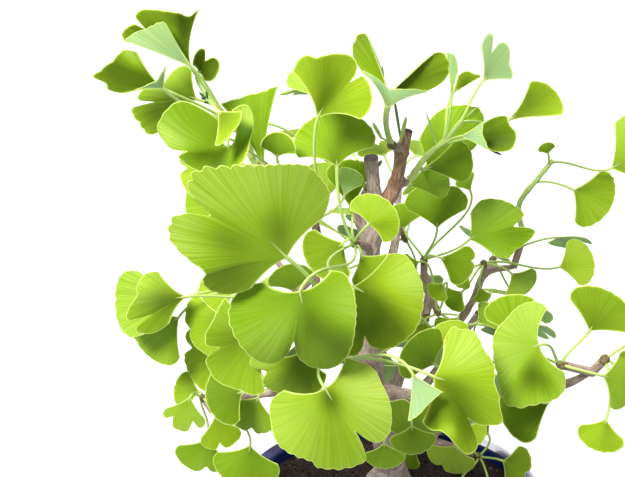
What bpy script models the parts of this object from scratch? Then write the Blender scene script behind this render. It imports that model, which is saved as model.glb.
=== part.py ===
"""A ginkgo bonsai in a glazed oval pot: the pot on its four feet, drain screens, soil, the woody
trunk with its branches and short spurs, and a spray of fan leaves at the end of each spur.

Metres, +Z up. The origin is on the surface that the pot's feet stand on, under the middle of the
whole tree. The leaves that show from the front are placed as seen by a viewer in front of the
tree: a place is a picture point (u to the right, v down) and y, its depth in millimetres behind
the plane of the trunk. The other leaves follow a seeded rule.
"""

import itertools
import math

import bpy
import numpy as np
from mathutils import Vector, noise
from mathutils.bvhtree import BVHTree

MM = 0.001

# The viewer: eye, downward pitch, and picture units per unit of slope.
EYE = np.array((-0.048, -0.482, 0.479))
PITCH = math.radians(27)
SIGHT = 1000.0
PICTURE_MIDDLE = (312.5, 238.5)
PICTURE_SIZE = (551, 477)
FORWARD = np.array((0, math.cos(PITCH), -math.sin(PITCH)))
UPWARD = np.array((0, math.sin(PITCH), math.cos(PITCH)))
RIGHTWARD = np.array((1.0, 0, 0))
# The direction that a tube's first corner turns to, as near as its line allows.
SECTION_START = np.array((0.3, 1.0, 0.1))
SMOOTH_ANGLE = math.radians(40)

# The pot: half axes of its rim, and its wall's sections as (inset from the rim, height) in mm.
RIM_HALF = (92 * MM, 66 * MM)
POT_SIDES = 32
POT_OUTSIDE = ((24, 6), (23, 0), (15, 0), (8, 14), (5, 30), (3, 54), (0, 55.4), (0, 60.6), (1.2, 62))
POT_INSIDE = ((8, 62), (9.2, 60.8), (11, 30), (14, 16), (18, 11))
FLOOR_TOP = 11 * MM
# What is cut from the foot ring, along x and y and up from the surface: it leaves four feet.
FOOT_GAPS = ((60, 160, 4.6), (220, 36, 4.6))
DRAIN_AT = 34 * MM
DRAIN_RADIUS = 6 * MM
DRAIN_SIDES = 16
SCREEN_SIDE = 26 * MM
SCREEN_THICK = 1.2 * MM
SCREEN_HOLES = 3
SCREEN_HOLE = 5 * MM
REST_GAP = 0.35 * MM

# The soil: its edge height, how far the middle is heaped, its grains' relief and size, and its
# rings inside the edge as shares of it.
SOIL_EDGE = 54 * MM
SOIL_HEAP = 7 * MM
SOIL_RELIEF = 1.2 * MM
SOIL_GRAIN = 9 * MM
SOIL_SHARES = (0.88, 0.68, 0.44)

# The root flare, as (height, mean radius, depth of its lobes as a share of the radius) in mm.
FLARE = ((38, 13, 0.12), (52, 17, 0.2), (62, 14.4, 0.19), (70, 11, 0.1), (80, 8.4, 0.03))
FLARE_LOBES = 5
FLARE_TWIST = 0.6
FLARE_SIDES = 16

# Wood: the step along a branch's curve, and the sides of each size of it.
WOOD_STEP = 25 * MM
TRUNK_SIDES = 8
BRANCH_SIDES = 5
SPUR_SIDES = 4
SPUR_RADIUS = 2.2 * MM
SPUR_SINK = 1.2 * MM

# The leaf: its blade, thicker at the base, its stalk, and the knob or shoot that it grows from.
BLADE_THICK = 0.76 * MM
BASE_EXTRA = 0.3 * MM
NECK_POWER = 0.6
STALK_WIDTH = 1.5 * MM
STALK_THICK = 1.4 * MM
STALK_REACH = 0.34
LONG_STALK = 32 * MM
STALK_TURN = math.radians(50)
ALONG_SHARE = 0.5
KNOB_RADIUS = 2.3 * MM
KNOB_LENGTH = 5 * MM
KNOB_SHARES = (0.8, 1.0, 0.5)
SHOOT_SHARES = (0.85, 0.55)
SHOOT_STEP = 18 * MM
SHOOT_STRAIGHT = 3 * MM
STEM_SIDES = 5
LAST_PLACE = 0.96
# The room that every leaf keeps round itself, and every stem from its spur's end.
CLEARANCE = 1.0 * MM
WOOD_GAP = 0.45 * MM
GOLDEN_ANGLE = math.pi * (3 - math.sqrt(5))
# What a placed leaf tries in turn: its slide along the line of sight in mm, nearest first, a roll
# in degrees, and more bow in its stalk.
SLIDES = sorted(range(-30, 32, 2), key=abs)
EXTRA_ROLLS = (0, 12, -12)
EXTRA_BOWS = (0, 0.12, -0.12, 0.24, -0.24)
ROUND_RIM = ((-1, 0.74), (-0.86, 0.9), (-0.6, 0.98), (0, 1), (0.6, 0.98), (0.86, 0.9), (1, 0.74))
# The solid blade's places on a round margin, how far round a split they make way for it, in
# widths, and its rows inside the margin as (share of the way, points), the last for a margin of
# many places.
PLAIN_MARGIN = (-1, -0.76, -0.28, 0.28, 0.76, 1)
SPLIT_SPAN = 3
RULED_ROWS = ((0.0, 2),)
PLAIN_ROWS = ((0.0, 2), (0.55, 3))
WIDE_ROWS = ((0.0, 2), (0.4, 3), (0.74, 7))
MANY = 11
NOTCH_TRIES = 41
NOTCH_PULL = 0.5


def mm(x, y, z):
    """A place given in millimetres."""
    return np.array((x, y, z)) * MM


def unit(vector):
    return vector / np.linalg.norm(vector)


def seen(u, v, y):
    """The point y mm behind the trunk's plane on the line of sight through picture point (u, v)."""
    across = (u - PICTURE_MIDDLE[0]) / SIGHT
    up = (PICTURE_MIDDLE[1] - v) / SIGHT
    ray = FORWARD + RIGHTWARD * across + UPWARD * up
    return EYE + ray * ((y * MM - EYE[1]) / ray[1])


def place(point):
    """A point in space, from a picture place or as it is."""
    return point if isinstance(point, np.ndarray) else seen(*point)


def picture_of(points):
    """The picture points (u, v) of points in space."""
    away = np.atleast_2d(points) - EYE
    depth = away @ FORWARD
    u = PICTURE_MIDDLE[0] + SIGHT * (away @ RIGHTWARD) / depth
    v = PICTURE_MIDDLE[1] - SIGHT * (away @ UPWARD) / depth
    return u, v


def leaf(base, tip, half=60, roll=0, left=-10, right=-10, droop=12, at=1.0, bow=0.0, splits=(),
         rim=ROUND_RIM, waves=(), neck=0.72, stem=1.0):
    """A leaf: where its blade starts, and the place on its midline at a distance of one radius.

    half is half the fan's opening, and roll its turn about the midline from facing the viewer.
    left and right lift its sides and droop lowers its tip, in degrees over the blade's length.
    at is where on the spray's stem it grows, and bow how far its stalk sags, as a share of its
    length. Places across the fan run from -1 to 1, as seen: a split is (place, depth, width), a
    rim point (place, radius) and a wave (place, width, height), each as shares of the radius.
    neck is the share of its opening that the fan has at the base, and stem how stout its stalk
    is."""
    return dict(base=base, tip=tip, half=half, roll=roll, left=left, right=right, droop=droop, at=at,
                bow=bow, splits=splits, rim=rim, waves=waves, neck=neck, stem=stem)


# Wood: each branch's line, and its radii in mm.
WOOD = {
    "trunk": ([mm(0, 0, 40), mm(0, 0, 66), (386, 452, -3), (379, 405, -8), (371, 355, -12), (368, 300, -14),
               (372, 248, -14), (385, 203, -12)], (8.2, 8.4, 7.0, 6.5, 6.0, 5.3, 4.7, 4.2)),
    "stub": ([(385, 214, -12), (375, 194, -13), (371, 157, -14)], (3.4, 3.5, 3.4)),
    "top": ([(384, 204, -12), (393, 190, -10), (399, 170, -12), (402, 150, -13), (409, 130, -13)],
            (3.4, 3.6, 3.2, 3.4, 1.8)),
    "left": ([(373, 372, -11), (345, 338, -6), (322, 305, 2), (315, 275, 6), (316, 228, 8), (306, 195, -2),
              (286, 178, -14), (266, 171, -20)], (3.4, 3.2, 2.8, 2.6, 2.2, 2.0, 1.9, 1.7)),
    "back_right": ([(379, 420, -6), (400, 375, 18), (420, 330, 40), (430, 292, 45), (424, 274, 46)],
                   (4.4, 3.8, 3.2, 3.0, 2.2)),
    "front": ([(371, 362, -12), (360, 362, -45), (349, 361, -72)], (3.4, 2.8, 2.2)),
    "left_low": ([(377, 398, -8), (330, 395, -10), (280, 392, -22), (240, 398, -20), (212, 410, -10)],
                 (3.8, 3.2, 2.6, 2.2, 1.6)),
    "right_front": ([(375, 388, -9), (430, 400, -30), (500, 404, -52), (560, 386, -66), (592, 372, -72)],
                    (3.8, 3.2, 2.6, 2.2, 1.6)),
    "right_back": ([(402, 372, 19), (440, 345, 44), (472, 302, 56), (485, 274, 58), (514, 266, 60)],
                   (2.8, 2.6, 2.3, 2.1, 1.7)),
    "right_low": ([(383, 432, -4), (430, 442, 6), (463, 449, 6)], (4.0, 3.2, 2.2)),
    "back": ([mm(-15, -12, 158), mm(-9, 22, 176), mm(2, 58, 200), mm(6, 92, 216)], (3.8, 3.2, 2.5, 1.7)),
    "back_left": ([mm(-9, -8, 124), mm(-30, 20, 146), mm(-52, 48, 168), mm(-74, 72, 186)],
                  (3.8, 3.2, 2.5, 1.7)),
    "back_high": ([(372, 250, -14), (357, 214, 8), (342, 166, 34), (334, 120, 58)], (3.2, 2.7, 2.2, 1.6)),
    "back_low": ([mm(-6, -6, 108), mm(22, 26, 120), mm(42, 50, 130), mm(54, 68, 136)], (3.8, 3.0, 2.4, 1.7)),
}

# Sprays on hand-placed spurs: branch, the stem's places from the spur's end, and the leaves.
SPRAYS = {
    "crown_left": ("left", [(257, 163, -22), (246, 142, -26), (222, 112, -30), (206, 98, -31)], [
        leaf((189, 64, -34), (157, 11, -38), half=39, left=-8, right=14, droop=6, at=0.74, neck=0.4,
             rim=((1, 0.93), (0.77, 0.8), (0.44, 0.89), (0.06, 1.0), (-0.31, 1.16), (-0.45, 1.12),
                  (-0.5, 0.9), (-0.56, 1.08), (-0.87, 1.17), (-1, 1.08)),
             waves=((0.4, 0.25, 0.12), (-0.2, 0.25, -0.08))),
        leaf((189, 65, -40), (145, 27, -46), half=20, roll=180, left=-20, right=-20, droop=-10, at=0.7,
             rim=((1, 0.8), (0.9, 0.86), (0, 0.95), (-0.9, 1.16), (-1, 1.15))),
        leaf((161, 88, -44), (104.4, 62.8, -48), half=33, left=-16, right=30, at=0.66, neck=0.5,
             rim=((1, 0.7), (0.7, 0.85), (0.16, 0.9), (-0.24, 1.03), (-0.45, 1.12), (-0.57, 0.93),
                  (-0.79, 0.87), (-1, 0.6))),
        leaf((163, 88, -52), (147.5, 71, -56), half=50, roll=180, left=10, right=10, at=0.62,
             rim=((-1, 1.13), (-0.8, 0.75), (0, 0.42), (0.8, 0.7), (1, 0.98))),
        leaf((196, 99, -20), (137.7, 77.8, -16), half=62, left=-14, right=-10, at=0.84,
             rim=((1, 0.45), (0.84, 0.57), (0.39, 0.6), (0.06, 0.62), (-0.08, 0.8), (-0.21, 0.96),
                  (-0.33, 0.96), (-0.38, 0.7), (-0.43, 1.09), (-0.66, 1.06), (-0.92, 0.97), (-1, 0.7))),
        leaf((199, 72, -26), (216, 60, -24), half=98, left=16, right=16, at=1.0,
             rim=((-1, 0.42), (-0.8, 0.66), (-0.55, 1.08), (-0.42, 1.12), (-0.26, 0.62), (-0.1, 1.0),
                  (0.1, 1.08), (0.4, 0.92), (0.75, 0.72), (1, 0.4))),
        leaf((219, 112, -64), (237, 131, -74), half=42, left=6, right=6, droop=-8, at=0.7,
             rim=((-1, 0.8), (-0.8, 0.84), (-0.3, 0.93), (0.2, 1.0), (0.6, 1.15), (0.85, 1.25), (1, 1.2))),
    ]),
    "cup": ("left", [(276, 170, -24)], [
        leaf((228.5, 146, -64), (234.5, 214.7, -68), half=170, left=0, right=0, droop=0, bow=-0.12, stem=1.3,
             waves=((-0.26, 0.36, 0.3), (0.75, 0.26, 0.06)),
             rim=((1, 0.3), (0.9, 0.58), (0.82, 0.9), (0.76, 0.97), (0.7, 1.0), (0.636, 1.0),
                  (0.59, 0.9), (0.54, 0.77), (0.518, 0.58), (0.494, 0.7), (0.44, 0.66), (0.35, 0.57),
                  (0.218, 0.45), (0.09, 0.36), (-0.23, 0.24), (-0.6, 0.3), (-0.74, 0.45), (-0.83, 0.57),
                  (-0.9, 0.62), (-1, 0.5))),
        leaf((263, 165, -8), (248.7, 97.5, -2), half=23, left=-14, right=-18, neck=0.4,
             rim=((-1, 1.04), (-0.5, 1.0), (0, 1.0), (0.5, 1.03), (1, 1.14))),
        leaf((222, 166, -22), (180, 176, -20), half=48, splits=((0.2, 0.2, 0.1),)),
        leaf((228, 205, -14), (184, 204, -12), half=40),
        leaf((277, 156, -34), (280, 134, -38), half=60, left=60, right=60),
    ]),
    "top_mid": ("left", [(311, 214, -10)], [
        leaf((318, 116, -44), (350.5, 59.7, -40), half=62, left=-30, right=52, droop=-12, bow=0.08, neck=0.5,
             stem=1.3,
             rim=((-1, 0.8), (-0.74, 0.95), (-0.5, 0.9), (-0.32, 0.97), (0, 1.07), (0.16, 0.95), (0.22, 0.73),
                  (0.27, 0.93), (0.41, 0.98), (0.665, 0.95), (0.85, 0.86), (1, 0.7))),
        leaf((320, 204, 2), (329, 163, 6), half=38, roll=20),
        leaf((345, 194, -14), (352, 168, -10), half=50, roll=150, left=40, right=20),
    ]),
    "top": ("top", [(394, 146, -19)], [
        leaf((388, 106, -30), (399.9, 67.8, -32), half=55, roll=180, left=16, right=16, droop=0, stem=2.1,
             neck=0.5,
             rim=((-1, 1.05), (-0.76, 0.775), (-0.48, 0.54), (-0.2, 0.42), (0.41, 0.55), (0.64, 0.69),
                  (1, 1.0))),
        leaf((388, 98, -24), (411, 27, -22), half=62, left=-6, right=-12, droop=-10,
             waves=((-0.6, 0.3, 0.14), (0.6, 0.3, 0.14)),
             rim=((-1, 0.45), (-0.9, 0.74), (-0.74, 0.92), (-0.6, 1.0), (-0.53, 0.95), (-0.47, 0.5),
                  (-0.3, 0.16), (0.2, 0.16), (0.36, 0.45), (0.41, 0.92), (0.57, 1.01), (0.68, 0.96),
                  (0.86, 0.81), (1, 0.54))),
    ]),
    "mid": ("trunk", [(357, 244, -28)], [
        leaf((337, 166, -32), (330.4, 112.4, -26), half=72, left=-30, right=-24, bow=-0.05, neck=0.5),
        leaf((369, 224, -44), (389.5, 203.5, -46), half=100, left=-6, right=-24),
        leaf((352, 208, -6), (347, 160, -2), half=34, left=-16, right=-10),
        leaf((300, 291, -124), (314.6, 374.5, -132), half=112, left=-12, right=-12, droop=40, bow=-0.2,
             waves=((0.12, 0.1, -0.09), (0.45, 0.3, 0.05), (-0.3, 0.3, 0.05)),
             rim=((1, 0.42), (0.88, 0.68), (0.72, 0.85), (0.51, 0.93), (0.31, 0.99), (0.22, 0.94),
                  (0.165, 0.81), (0.138, 0.64), (0.11, 0.78), (0.08, 0.92), (0.01, 1.06), (-0.09, 1.15),
                  (-0.18, 1.06), (-0.375, 0.8), (-0.575, 0.66), (-0.755, 0.58), (-0.89, 0.53), (-1, 0.4))),
        leaf((354, 287, -96), (425, 323.2, -102), half=71, left=-20, right=-30, droop=30, bow=0.05, stem=1.2,
             rim=((-1, 0.6), (-0.84, 0.76), (-0.62, 0.82), (-0.31, 0.9), (-0.1, 0.95), (0.09, 1.0),
                  (0.27, 1.0), (0.42, 0.98), (0.53, 0.93), (0.645, 0.8), (0.69, 0.67), (0.73, 0.8),
                  (0.8, 0.92), (0.9, 0.93), (1, 0.84))),
        leaf((343, 243, -46), (311, 270, -52), half=66, left=30, right=10),
        leaf((361, 256, -36), (381, 284, -42), half=60, left=-10, right=40),
    ]),
    "front": ("front", [(343, 359, -84)], [
        leaf((286, 257, -124), (200, 170, -132), half=90, left=-48, right=-14, droop=8, bow=0.05, stem=1.8,
             rim=((-1, 0.36), (-0.9, 0.54), (-0.78, 0.66), (-0.69, 0.69), (-0.6, 0.66), (-0.5, 0.79),
                  (-0.4, 0.92), (-0.32, 0.95), (-0.25, 0.92), (-0.165, 0.7), (-0.13, 0.88), (-0.07, 1.0),
                  (0.01, 0.99),
                  (0.1, 0.9), (0.217, 0.82), (0.31, 0.77), (0.46, 0.74), (0.61, 0.73), (0.76, 0.66),
                  (0.9, 0.58), (1, 0.4)), waves=((-0.45, 0.3, 0.06),)),
        leaf((325, 388, -118), (367.5, 461.6, -128), half=115, left=-12, right=-18, droop=20, bow=0.1,
             stem=1.2,
             waves=((0.5, 0.25, 0.05), (-0.25, 0.2, 0.05)),
             rim=((1, 0.45), (0.91, 0.62), (0.765, 0.72), (0.6, 0.84), (0.46, 0.85), (0.35, 0.87),
                  (0.296, 0.95), (0.22, 0.99), (0.13, 1.04), (0.0, 1.04), (-0.026, 0.85), (-0.043, 0.62),
                  (-0.07, 0.78), (-0.1, 0.9), (-0.185, 0.95), (-0.29, 0.87), (-0.45, 0.73), (-0.557, 0.65),
                  (-0.687, 0.6), (-0.864, 0.47), (-1, 0.4))),
        leaf((302, 353, -108), (286.6, 409.5, -114), half=65, left=-14, right=-22, droop=32,
             rim=((0.96, 0.9), (0.8, 0.98), (0.615, 0.76), (0.5, 0.96), (0.39, 1.03), (0.22, 0.99),
                  (0, 0.86), (-0.33, 0.79), (-0.54, 0.73), (-1, 0.52))),
        leaf((434, 377, -116), (507.4, 397.7, -124), half=90, left=-20, right=-24, droop=20, bow=-0.06,
             stem=1.4, waves=((0.7, 0.16, 0.1), (0.3, 0.2, -0.06)),
             rim=((-1, 0.5), (-0.95, 0.72), (-0.85, 0.75), (-0.7, 0.84), (-0.49, 0.79), (-0.3, 0.84),
                  (-0.1, 0.83), (-0.02, 0.9), (0.11, 1.0), (0.19, 1.13), (0.28, 1.01), (0.35, 0.86),
                  (0.39, 0.72), (0.42, 0.9), (0.45, 1.09), (0.5, 1.17), (0.57, 1.15), (0.61, 1.06),
                  (0.68, 0.83), (0.76, 0.73), (0.87, 0.72), (1, 0.62))),
        leaf((413, 375, -124), (432, 412, -132), half=34, roll=180, left=14, right=14, droop=4,
             rim=((-1, 0.86), (-0.9, 0.8), (0, 0.8), (0.9, 1.1), (1, 1.12))),
        leaf((262, 332, -86), (200, 361, -92), half=68, left=-24, right=-14, droop=24,
             rim=((1, 0.74), (0.57, 0.76), (0.28, 0.89), (0.16, 0.89), (0.07, 0.7), (0, 0.97), (-0.07, 1.02),
                  (-0.29, 1.05), (-0.45, 1.0), (-0.64, 0.95), (-0.83, 0.97), (-1, 0.9))),
        leaf((293, 290, -88), (289, 266, -92), half=60, left=20, right=20),
    ]),
    "top_right": ("top", [(407, 180, -8), (425, 158, -4), (446, 139, 0), (462, 120, 5)], [
        leaf((484, 80, 14), (512, 49, 18), half=48, roll=180, left=8, right=8, at=1.0,
             rim=((-1, 0.8), (-0.8, 1.12), (-0.64, 1.08), (-0.56, 0.7), (-0.42, 0.96), (-0.17, 1.02),
                  (0.33, 0.74), (0.8, 0.72), (1, 0.66))),
        leaf((451.7, 93, 2), (454.8, 54, 4), half=11, roll=180, left=10, right=10, at=0.72,
             rim=((-1, 1.1), (0, 1.0), (1, 0.6))),
        leaf((454, 92, 12), (471, 70, 14), half=24, left=-10, right=-20, at=0.7,
             rim=((-1, 0.6), (-0.35, 0.87), (0.47, 1.0), (0.86, 1.16), (1, 1.1))),
        leaf((470, 138, 2), (514.4, 131, -2), half=40, left=20, right=30, at=0.62,
             rim=((-1, 0.44), (-0.62, 0.91), (-0.22, 0.93), (0.02, 1.02), (0.45, 1.01), (0.74, 0.88),
                  (1, 0.57))),
        leaf((463, 136, -8), (485, 134.8, -12), half=32, roll=180, left=14, right=14, at=0.58,
             rim=((-1, 1.11), (0, 0.95), (1, 1.36))),
        leaf((428, 168, 16), (459.4, 107.7, 20), half=45, left=-12, right=-24, droop=20, at=0.3,
             rim=((-1, 0.43), (-0.71, 0.59), (-0.41, 0.83), (-0.19, 0.95), (0.14, 1.1), (0.39, 1.14),
                  (0.88, 0.75), (1, 0.42))),
        leaf((509, 120, 20), (555.8, 93, 22), half=32, left=6, right=70, at=1.0, neck=0.2,
             rim=((-1, 0.83), (-0.6, 0.96), (0, 1.05), (0.5, 1.05), (1, 1.0))),
        leaf((426, 168, 8), (474, 160, 8), half=34, roll=14, at=0.28),
        leaf((409, 185, 12), (452, 174, 16), half=36, left=-12, right=-8, at=0.14),
    ]),
    "mid_back": ("back_right", [(424, 263, 43)], [
        leaf((437, 227, 30), (437, 183, 34), half=60, left=-12, right=-36, splits=((0.2, 0.08, 0.1),)),
        leaf((470, 239, 30), (523.5, 211.8, 28), half=62, left=-12, right=-20, bow=0.1,
             rim=((-1, 0.43), (-0.76, 0.68), (-0.53, 0.79), (-0.19, 0.92), (0.05, 0.98), (0.18, 0.76),
                  (0.26, 1.0), (0.34, 1.09), (0.45, 1.0), (0.67, 0.79), (0.88, 0.72), (1, 0.5))),
        leaf((441, 258, 22), (474, 270, 18), half=48, left=-10, right=-22, splits=((-0.3, 0.12, 0.07),)),
        leaf((404, 228, 52), (400, 204, 54), half=66, left=-20, right=-30),
        leaf((470, 190, 54), (462, 172, 56), half=52, roll=40),
    ]),
    "left_mid": ("left", [(298, 292, -2)], [
        leaf((185, 297, -28), (127.4, 304, -34), half=52, left=-40, right=-20, roll=8, neck=0.5,
             rim=((1, 0.66), (0.73, 0.83), (0.37, 0.88), (0.18, 0.85), (-0.09, 1.02), (-0.27, 1.08),
                  (-0.39, 0.66), (-0.48, 1.03), (-0.65, 0.98), (-0.85, 0.77), (-1, 0.52))),
        leaf((184, 298, -12), (112, 306, -12), half=36, left=10, right=10, bow=0.1),
        leaf((178, 318, -6), (136, 346, -6), half=56, left=-12, right=-10, bow=0.15),
        leaf((232, 296, 14), (196, 300, 16), half=62, left=-14, right=-10),
    ]),
    "left_lower": ("left_low", [(268, 384, -30)], [
        leaf((226, 318, -28), (187, 336, -26), half=60, left=-18, right=-14, splits=((0.1, 0.1, 0.1),)),
        leaf((224, 352, -4), (181, 368, 0), half=58, left=-14, right=-18, splits=((0.4, 0.22, 0.12),)),
        leaf((242, 392, -44), (206, 402, -50), half=72, left=-12, right=-12),
        leaf((258, 398, -32), (242, 432, -38), half=62, left=-16, right=-12, splits=((-0.2, 0.14, 0.1),)),
    ]),
    "left_tip": ("left_low", [(206, 402, -8)], [
        leaf((199, 392, 2), (172, 390, 6), half=58, left=-14, right=-14),
        leaf((190, 398, -18), (180, 432, -26), half=50, left=-14, right=-20,
             splits=((-0.45, 0.3, 0.14), (0.5, 0.26, 0.14))),
        leaf((216, 416, -20), (224, 450, -28), half=48, left=-12, right=-12, splits=((0.1, 0.2, 0.1),)),
        leaf((207, 440, 8), (197, 474, 4), half=60, left=-16, right=-14, splits=((-0.2, 0.2, 0.12),)),
        leaf((250, 446, -26), (242, 488, -34), half=66, left=-12, right=-12),
    ]),
    "right": ("right_front", [(566, 366, -76)], [
        leaf((539, 345, -88), (481, 360.5, -94), half=120, left=-12, right=-16, droop=10, stem=1.2,
             waves=((-0.3, 0.2, -0.12), (0.3, 0.4, 0.06)),
             rim=((1, 0.62), (0.875, 0.72), (0.69, 0.72), (0.45, 0.68), (0.22, 0.76), (0.05, 0.77),
                  (-0.16, 0.84), (-0.28, 0.97), (-0.36, 1.1), (-0.44, 1.1), (-0.5, 1.06), (-0.59, 0.98),
                  (-0.725, 0.94), (-0.875, 0.85), (-1, 0.6))),
        leaf((516, 336, -58), (508, 296, -54), half=50, left=-14, right=-14),
        leaf((548, 402, -84), (504, 424, -90), half=44, left=-12, right=-12),
        leaf((590, 330, -74), (612, 294, -78), half=60),
        leaf((604, 376, -66), (640, 384, -64), half=62),
    ]),
    "right_mid": ("right_front", [(470, 394, -50)], [
        leaf((434, 364, -56), (410, 342, -58), half=74, left=-18, right=-18, splits=((0.9, 0.2, 0.1),)),
        leaf((455, 352, -30), (444, 322, -24), half=54),
        leaf((466, 428, -60), (486, 436, -62), half=50),
    ]),
    "low_mid": ("trunk", [(398, 414, -22)], [
        leaf((407, 442, -40), (411, 403, -48), half=50, left=24, right=30, splits=((0.1, 0.16, 0.12),)),
        leaf((412, 426, -52), (414, 456, -58), half=66),
        leaf((384, 444, -34), (386, 470, -38), half=64),
    ]),
    "right_low": ("right_low", [(474, 454, 4)], [
        leaf((454, 446, -6), (446, 474, -10), half=72, splits=((0.2, 0.16, 0.1),)),
        leaf((503, 461, -8), (530, 472, -14), half=66, splits=((0.1, 0.14, 0.1),)),
        leaf((488, 434, 4), (476, 420, 6), half=50),
        leaf((462, 478, 0), (452, 504, -4), half=60),
        leaf((494, 490, 2), (512, 512, -2), half=60),
    ]),
    "far_right": ("right_front", [(602, 362, -76)], [
        leaf((634, 340, -80), (662, 322, -84), half=60),
        leaf((640, 392, -84), (668, 412, -92), half=56),
        leaf((606, 420, -90), (596, 452, -98), half=60),
    ]),
    "low_back": ("right_low", [(440, 428, 12)], [
        leaf((420, 424, 14), (399, 410, 10), half=58),
        leaf((452, 398, 18), (470, 382, 16), half=60),
        leaf((414, 446, 10), (398, 464, 8), half=58),
    ]),
    "far_right_shoot": ("right_back", [(522, 240, 66), (519, 205, 62), (540, 176, 60), (553, 160, 60)], [
        leaf((548, 153, 58), (545, 143, 58), half=66, at=0.9),
        leaf((612, 168, 52), (668, 140, 50), half=60, at=1.0),
        leaf((574, 190, 56), (612, 208, 52), half=62, at=0.7),
    ]),
    "back_cluster": ("right_back", [(484, 266, 54)], [
        leaf((462, 292, 46), (446, 306, 44), half=60),
        leaf((480, 288, 40), (484, 303, 38), half=44),
        leaf((512, 274, 50), (530, 292, 48), half=60),
        leaf((468, 272, 50), (456, 286, 46), half=50),
        leaf((560, 267, 60), (594, 258, 58), half=60),
    ]),
    "back_mid": ("back_right", [(436, 308, 36)], [
        leaf((444, 284, 30), (432, 298, 26), half=56),
        leaf((458, 318, 30), (444, 340, 26), half=60),
        leaf((424, 322, 28), (420, 348, 22), half=62),
        leaf((478, 322, 34), (496, 310, 32), half=56),
        leaf((418, 262, 44), (402, 268, 42), half=60),
    ]),
}

# Sprays by rule: branch, how far along it each spur stands, and the number of leaves on each.
# A spur's turn round its branch goes on by TURN_STEP, and it ends SPUR_REACH off the middle.
RULED = (
    ("back", (0.3, 0.52, 0.76, 1.0), 4),
    ("back_left", (0.34, 0.56, 0.78, 1.0), 4),
    ("back_high", (0.4, 0.7, 1.0), 4),
    ("back_low", (0.68, 1.0), 4),
    ("right_back", (0.3, 0.8), 4),
    ("back_right", (0.6,), 4),
)
FIRST_TURN = 0.8
TURN_STEP = 2.2
SPUR_REACH = 9 * MM
SPUR_LEAN = 1 / 3
RULE_SEED = 7
RULE_TRIES = 60
# What the rule draws for each leaf, between two values. Lengths are in mm and angles in degrees.
# turn is off the golden angle, spread and sink steer the leaf away from the spur and downwards.
DRAWN = {"turn": (-28, 28), "spread": (0.5, 1.3), "stalk": (20, 44), "sink": (-0.7, 0.1),
         "size": (19, 32), "half": (54, 78), "roll": (-25, 25), "left": (-22, 6), "right": (-22, 6),
         "droop": (4, 26), "bow": (-0.1, 0.1), "split_at": (-0.3, 0.3), "split_depth": (0.1, 0.45),
         "wave_at": (-0.6, 0.6), "wave_height": (-0.06, 0.08)}
SPLIT_WIDTH = 0.08
WAVE_WIDTH = 0.3
OUTWARD_SHARE = 0.3
UPWARD_SHARE = 0.25
FACING_SHARE = 0.5
# The ruled leaves keep inside the crown, above its floor, and this far behind the trunk's plane
# where they would be seen.
CROWN_MIDDLE = mm(0, 0, 215)
CROWN_HALF = mm(157, 136, 150)
CROWN_POWERS = (2, 2, 4)
CROWN_FLOOR = 84 * MM
BEHIND = 14 * MM
EDGE_ROOM = 6
TEST_PLACES = (-1, -0.5, 0, 0.5, 1)
# The crown's outline as seen, and the clear patches in it, as (u, v, radius).
OUTLINE = ((128, 96), (178, 40), (200, 60), (222, 106), (278, 90), (296, 56), (356, 54), (372, 80),
           (430, 90), (478, 92), (500, 120), (551, 84), (700, 60), (700, 500), (184, 500), (188, 440),
           (176, 400), (190, 340), (200, 300), (182, 226), (184, 168))
CLEAR = ((283, 120, 14), (405, 112, 14), (392, 170, 8), (462, 185, 16), (500, 175, 26), (535, 130, 26),
         (545, 210, 14), (415, 240, 8), (452, 248, 9), (490, 262, 10), (530, 262, 12), (437, 310, 9),
         (471, 309, 8), (489, 316, 10), (500, 280, 8), (520, 278, 8), (252, 437, 17), (198, 424, 14),
         (520, 432, 26), (470, 300, 8), (398, 392, 8), (282, 462, 18), (540, 290, 8))


def curve_through(points, step):
    """A Catmull-Rom curve through the rows of points, sampled about every step of length."""
    points = np.array(points)
    padded = np.vstack((2 * points[0] - points[1], points, 2 * points[-1] - points[-2]))
    pieces = []
    for first in range(len(points) - 1):
        before, start, end, after = padded[first:first + 4]
        count = max(1, round(np.linalg.norm((end - start)[:3]) / step))
        t = np.arange(count)[:, None] / count
        pieces.append(start + 0.5 * t * (end - before
                      + t * (2 * before - 5 * start + 4 * end - after
                      + t * (3 * (start - end) + after - before))))
    return np.vstack(pieces + [points[-1:]])


def frames_along(line, side):
    """Unit tangents, sides and normals along a line, turned as little as possible."""
    tangents = np.gradient(line, axis=0)
    tangents /= np.linalg.norm(tangents, axis=1)[:, None]
    sides = np.empty_like(line)
    for row, tangent in enumerate(tangents):
        side = unit(side - tangent * (side @ tangent))
        sides[row] = side
    return tangents, sides, np.cross(sides, tangents)


def ring_faces(rings, sides):
    """Quads between successive rings of a tube or loft, for rings that turn from side to normal."""
    faces = []
    for low in range(0, (rings - 1) * sides, sides):
        for k in range(sides):
            after = (k + 1) % sides
            faces.append((low + k, low + after, low + sides + after, low + sides + k))
    return faces


def tube(line, radii, sides):
    """A closed tube round a line: its points and faces."""
    tangents, side, normal = frames_along(line, SECTION_START)
    angle = circle_angles(sides)
    circle = np.cos(angle)[:, None] * side[:, None, :] + np.sin(angle)[:, None] * normal[:, None, :]
    points = line[:, None, :] + circle * np.asarray(radii)[:, None, None]
    faces = [face[::-1] for face in ring_faces(len(line), sides)]
    faces.append(tuple(range(sides)))
    faces.append(tuple(range(len(line) * sides - 1, (len(line) - 1) * sides - 1, -1)))
    return points.reshape(-1, 3), faces


def circle_angles(sides):
    return np.arange(sides) * 2 * math.pi / sides


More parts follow.
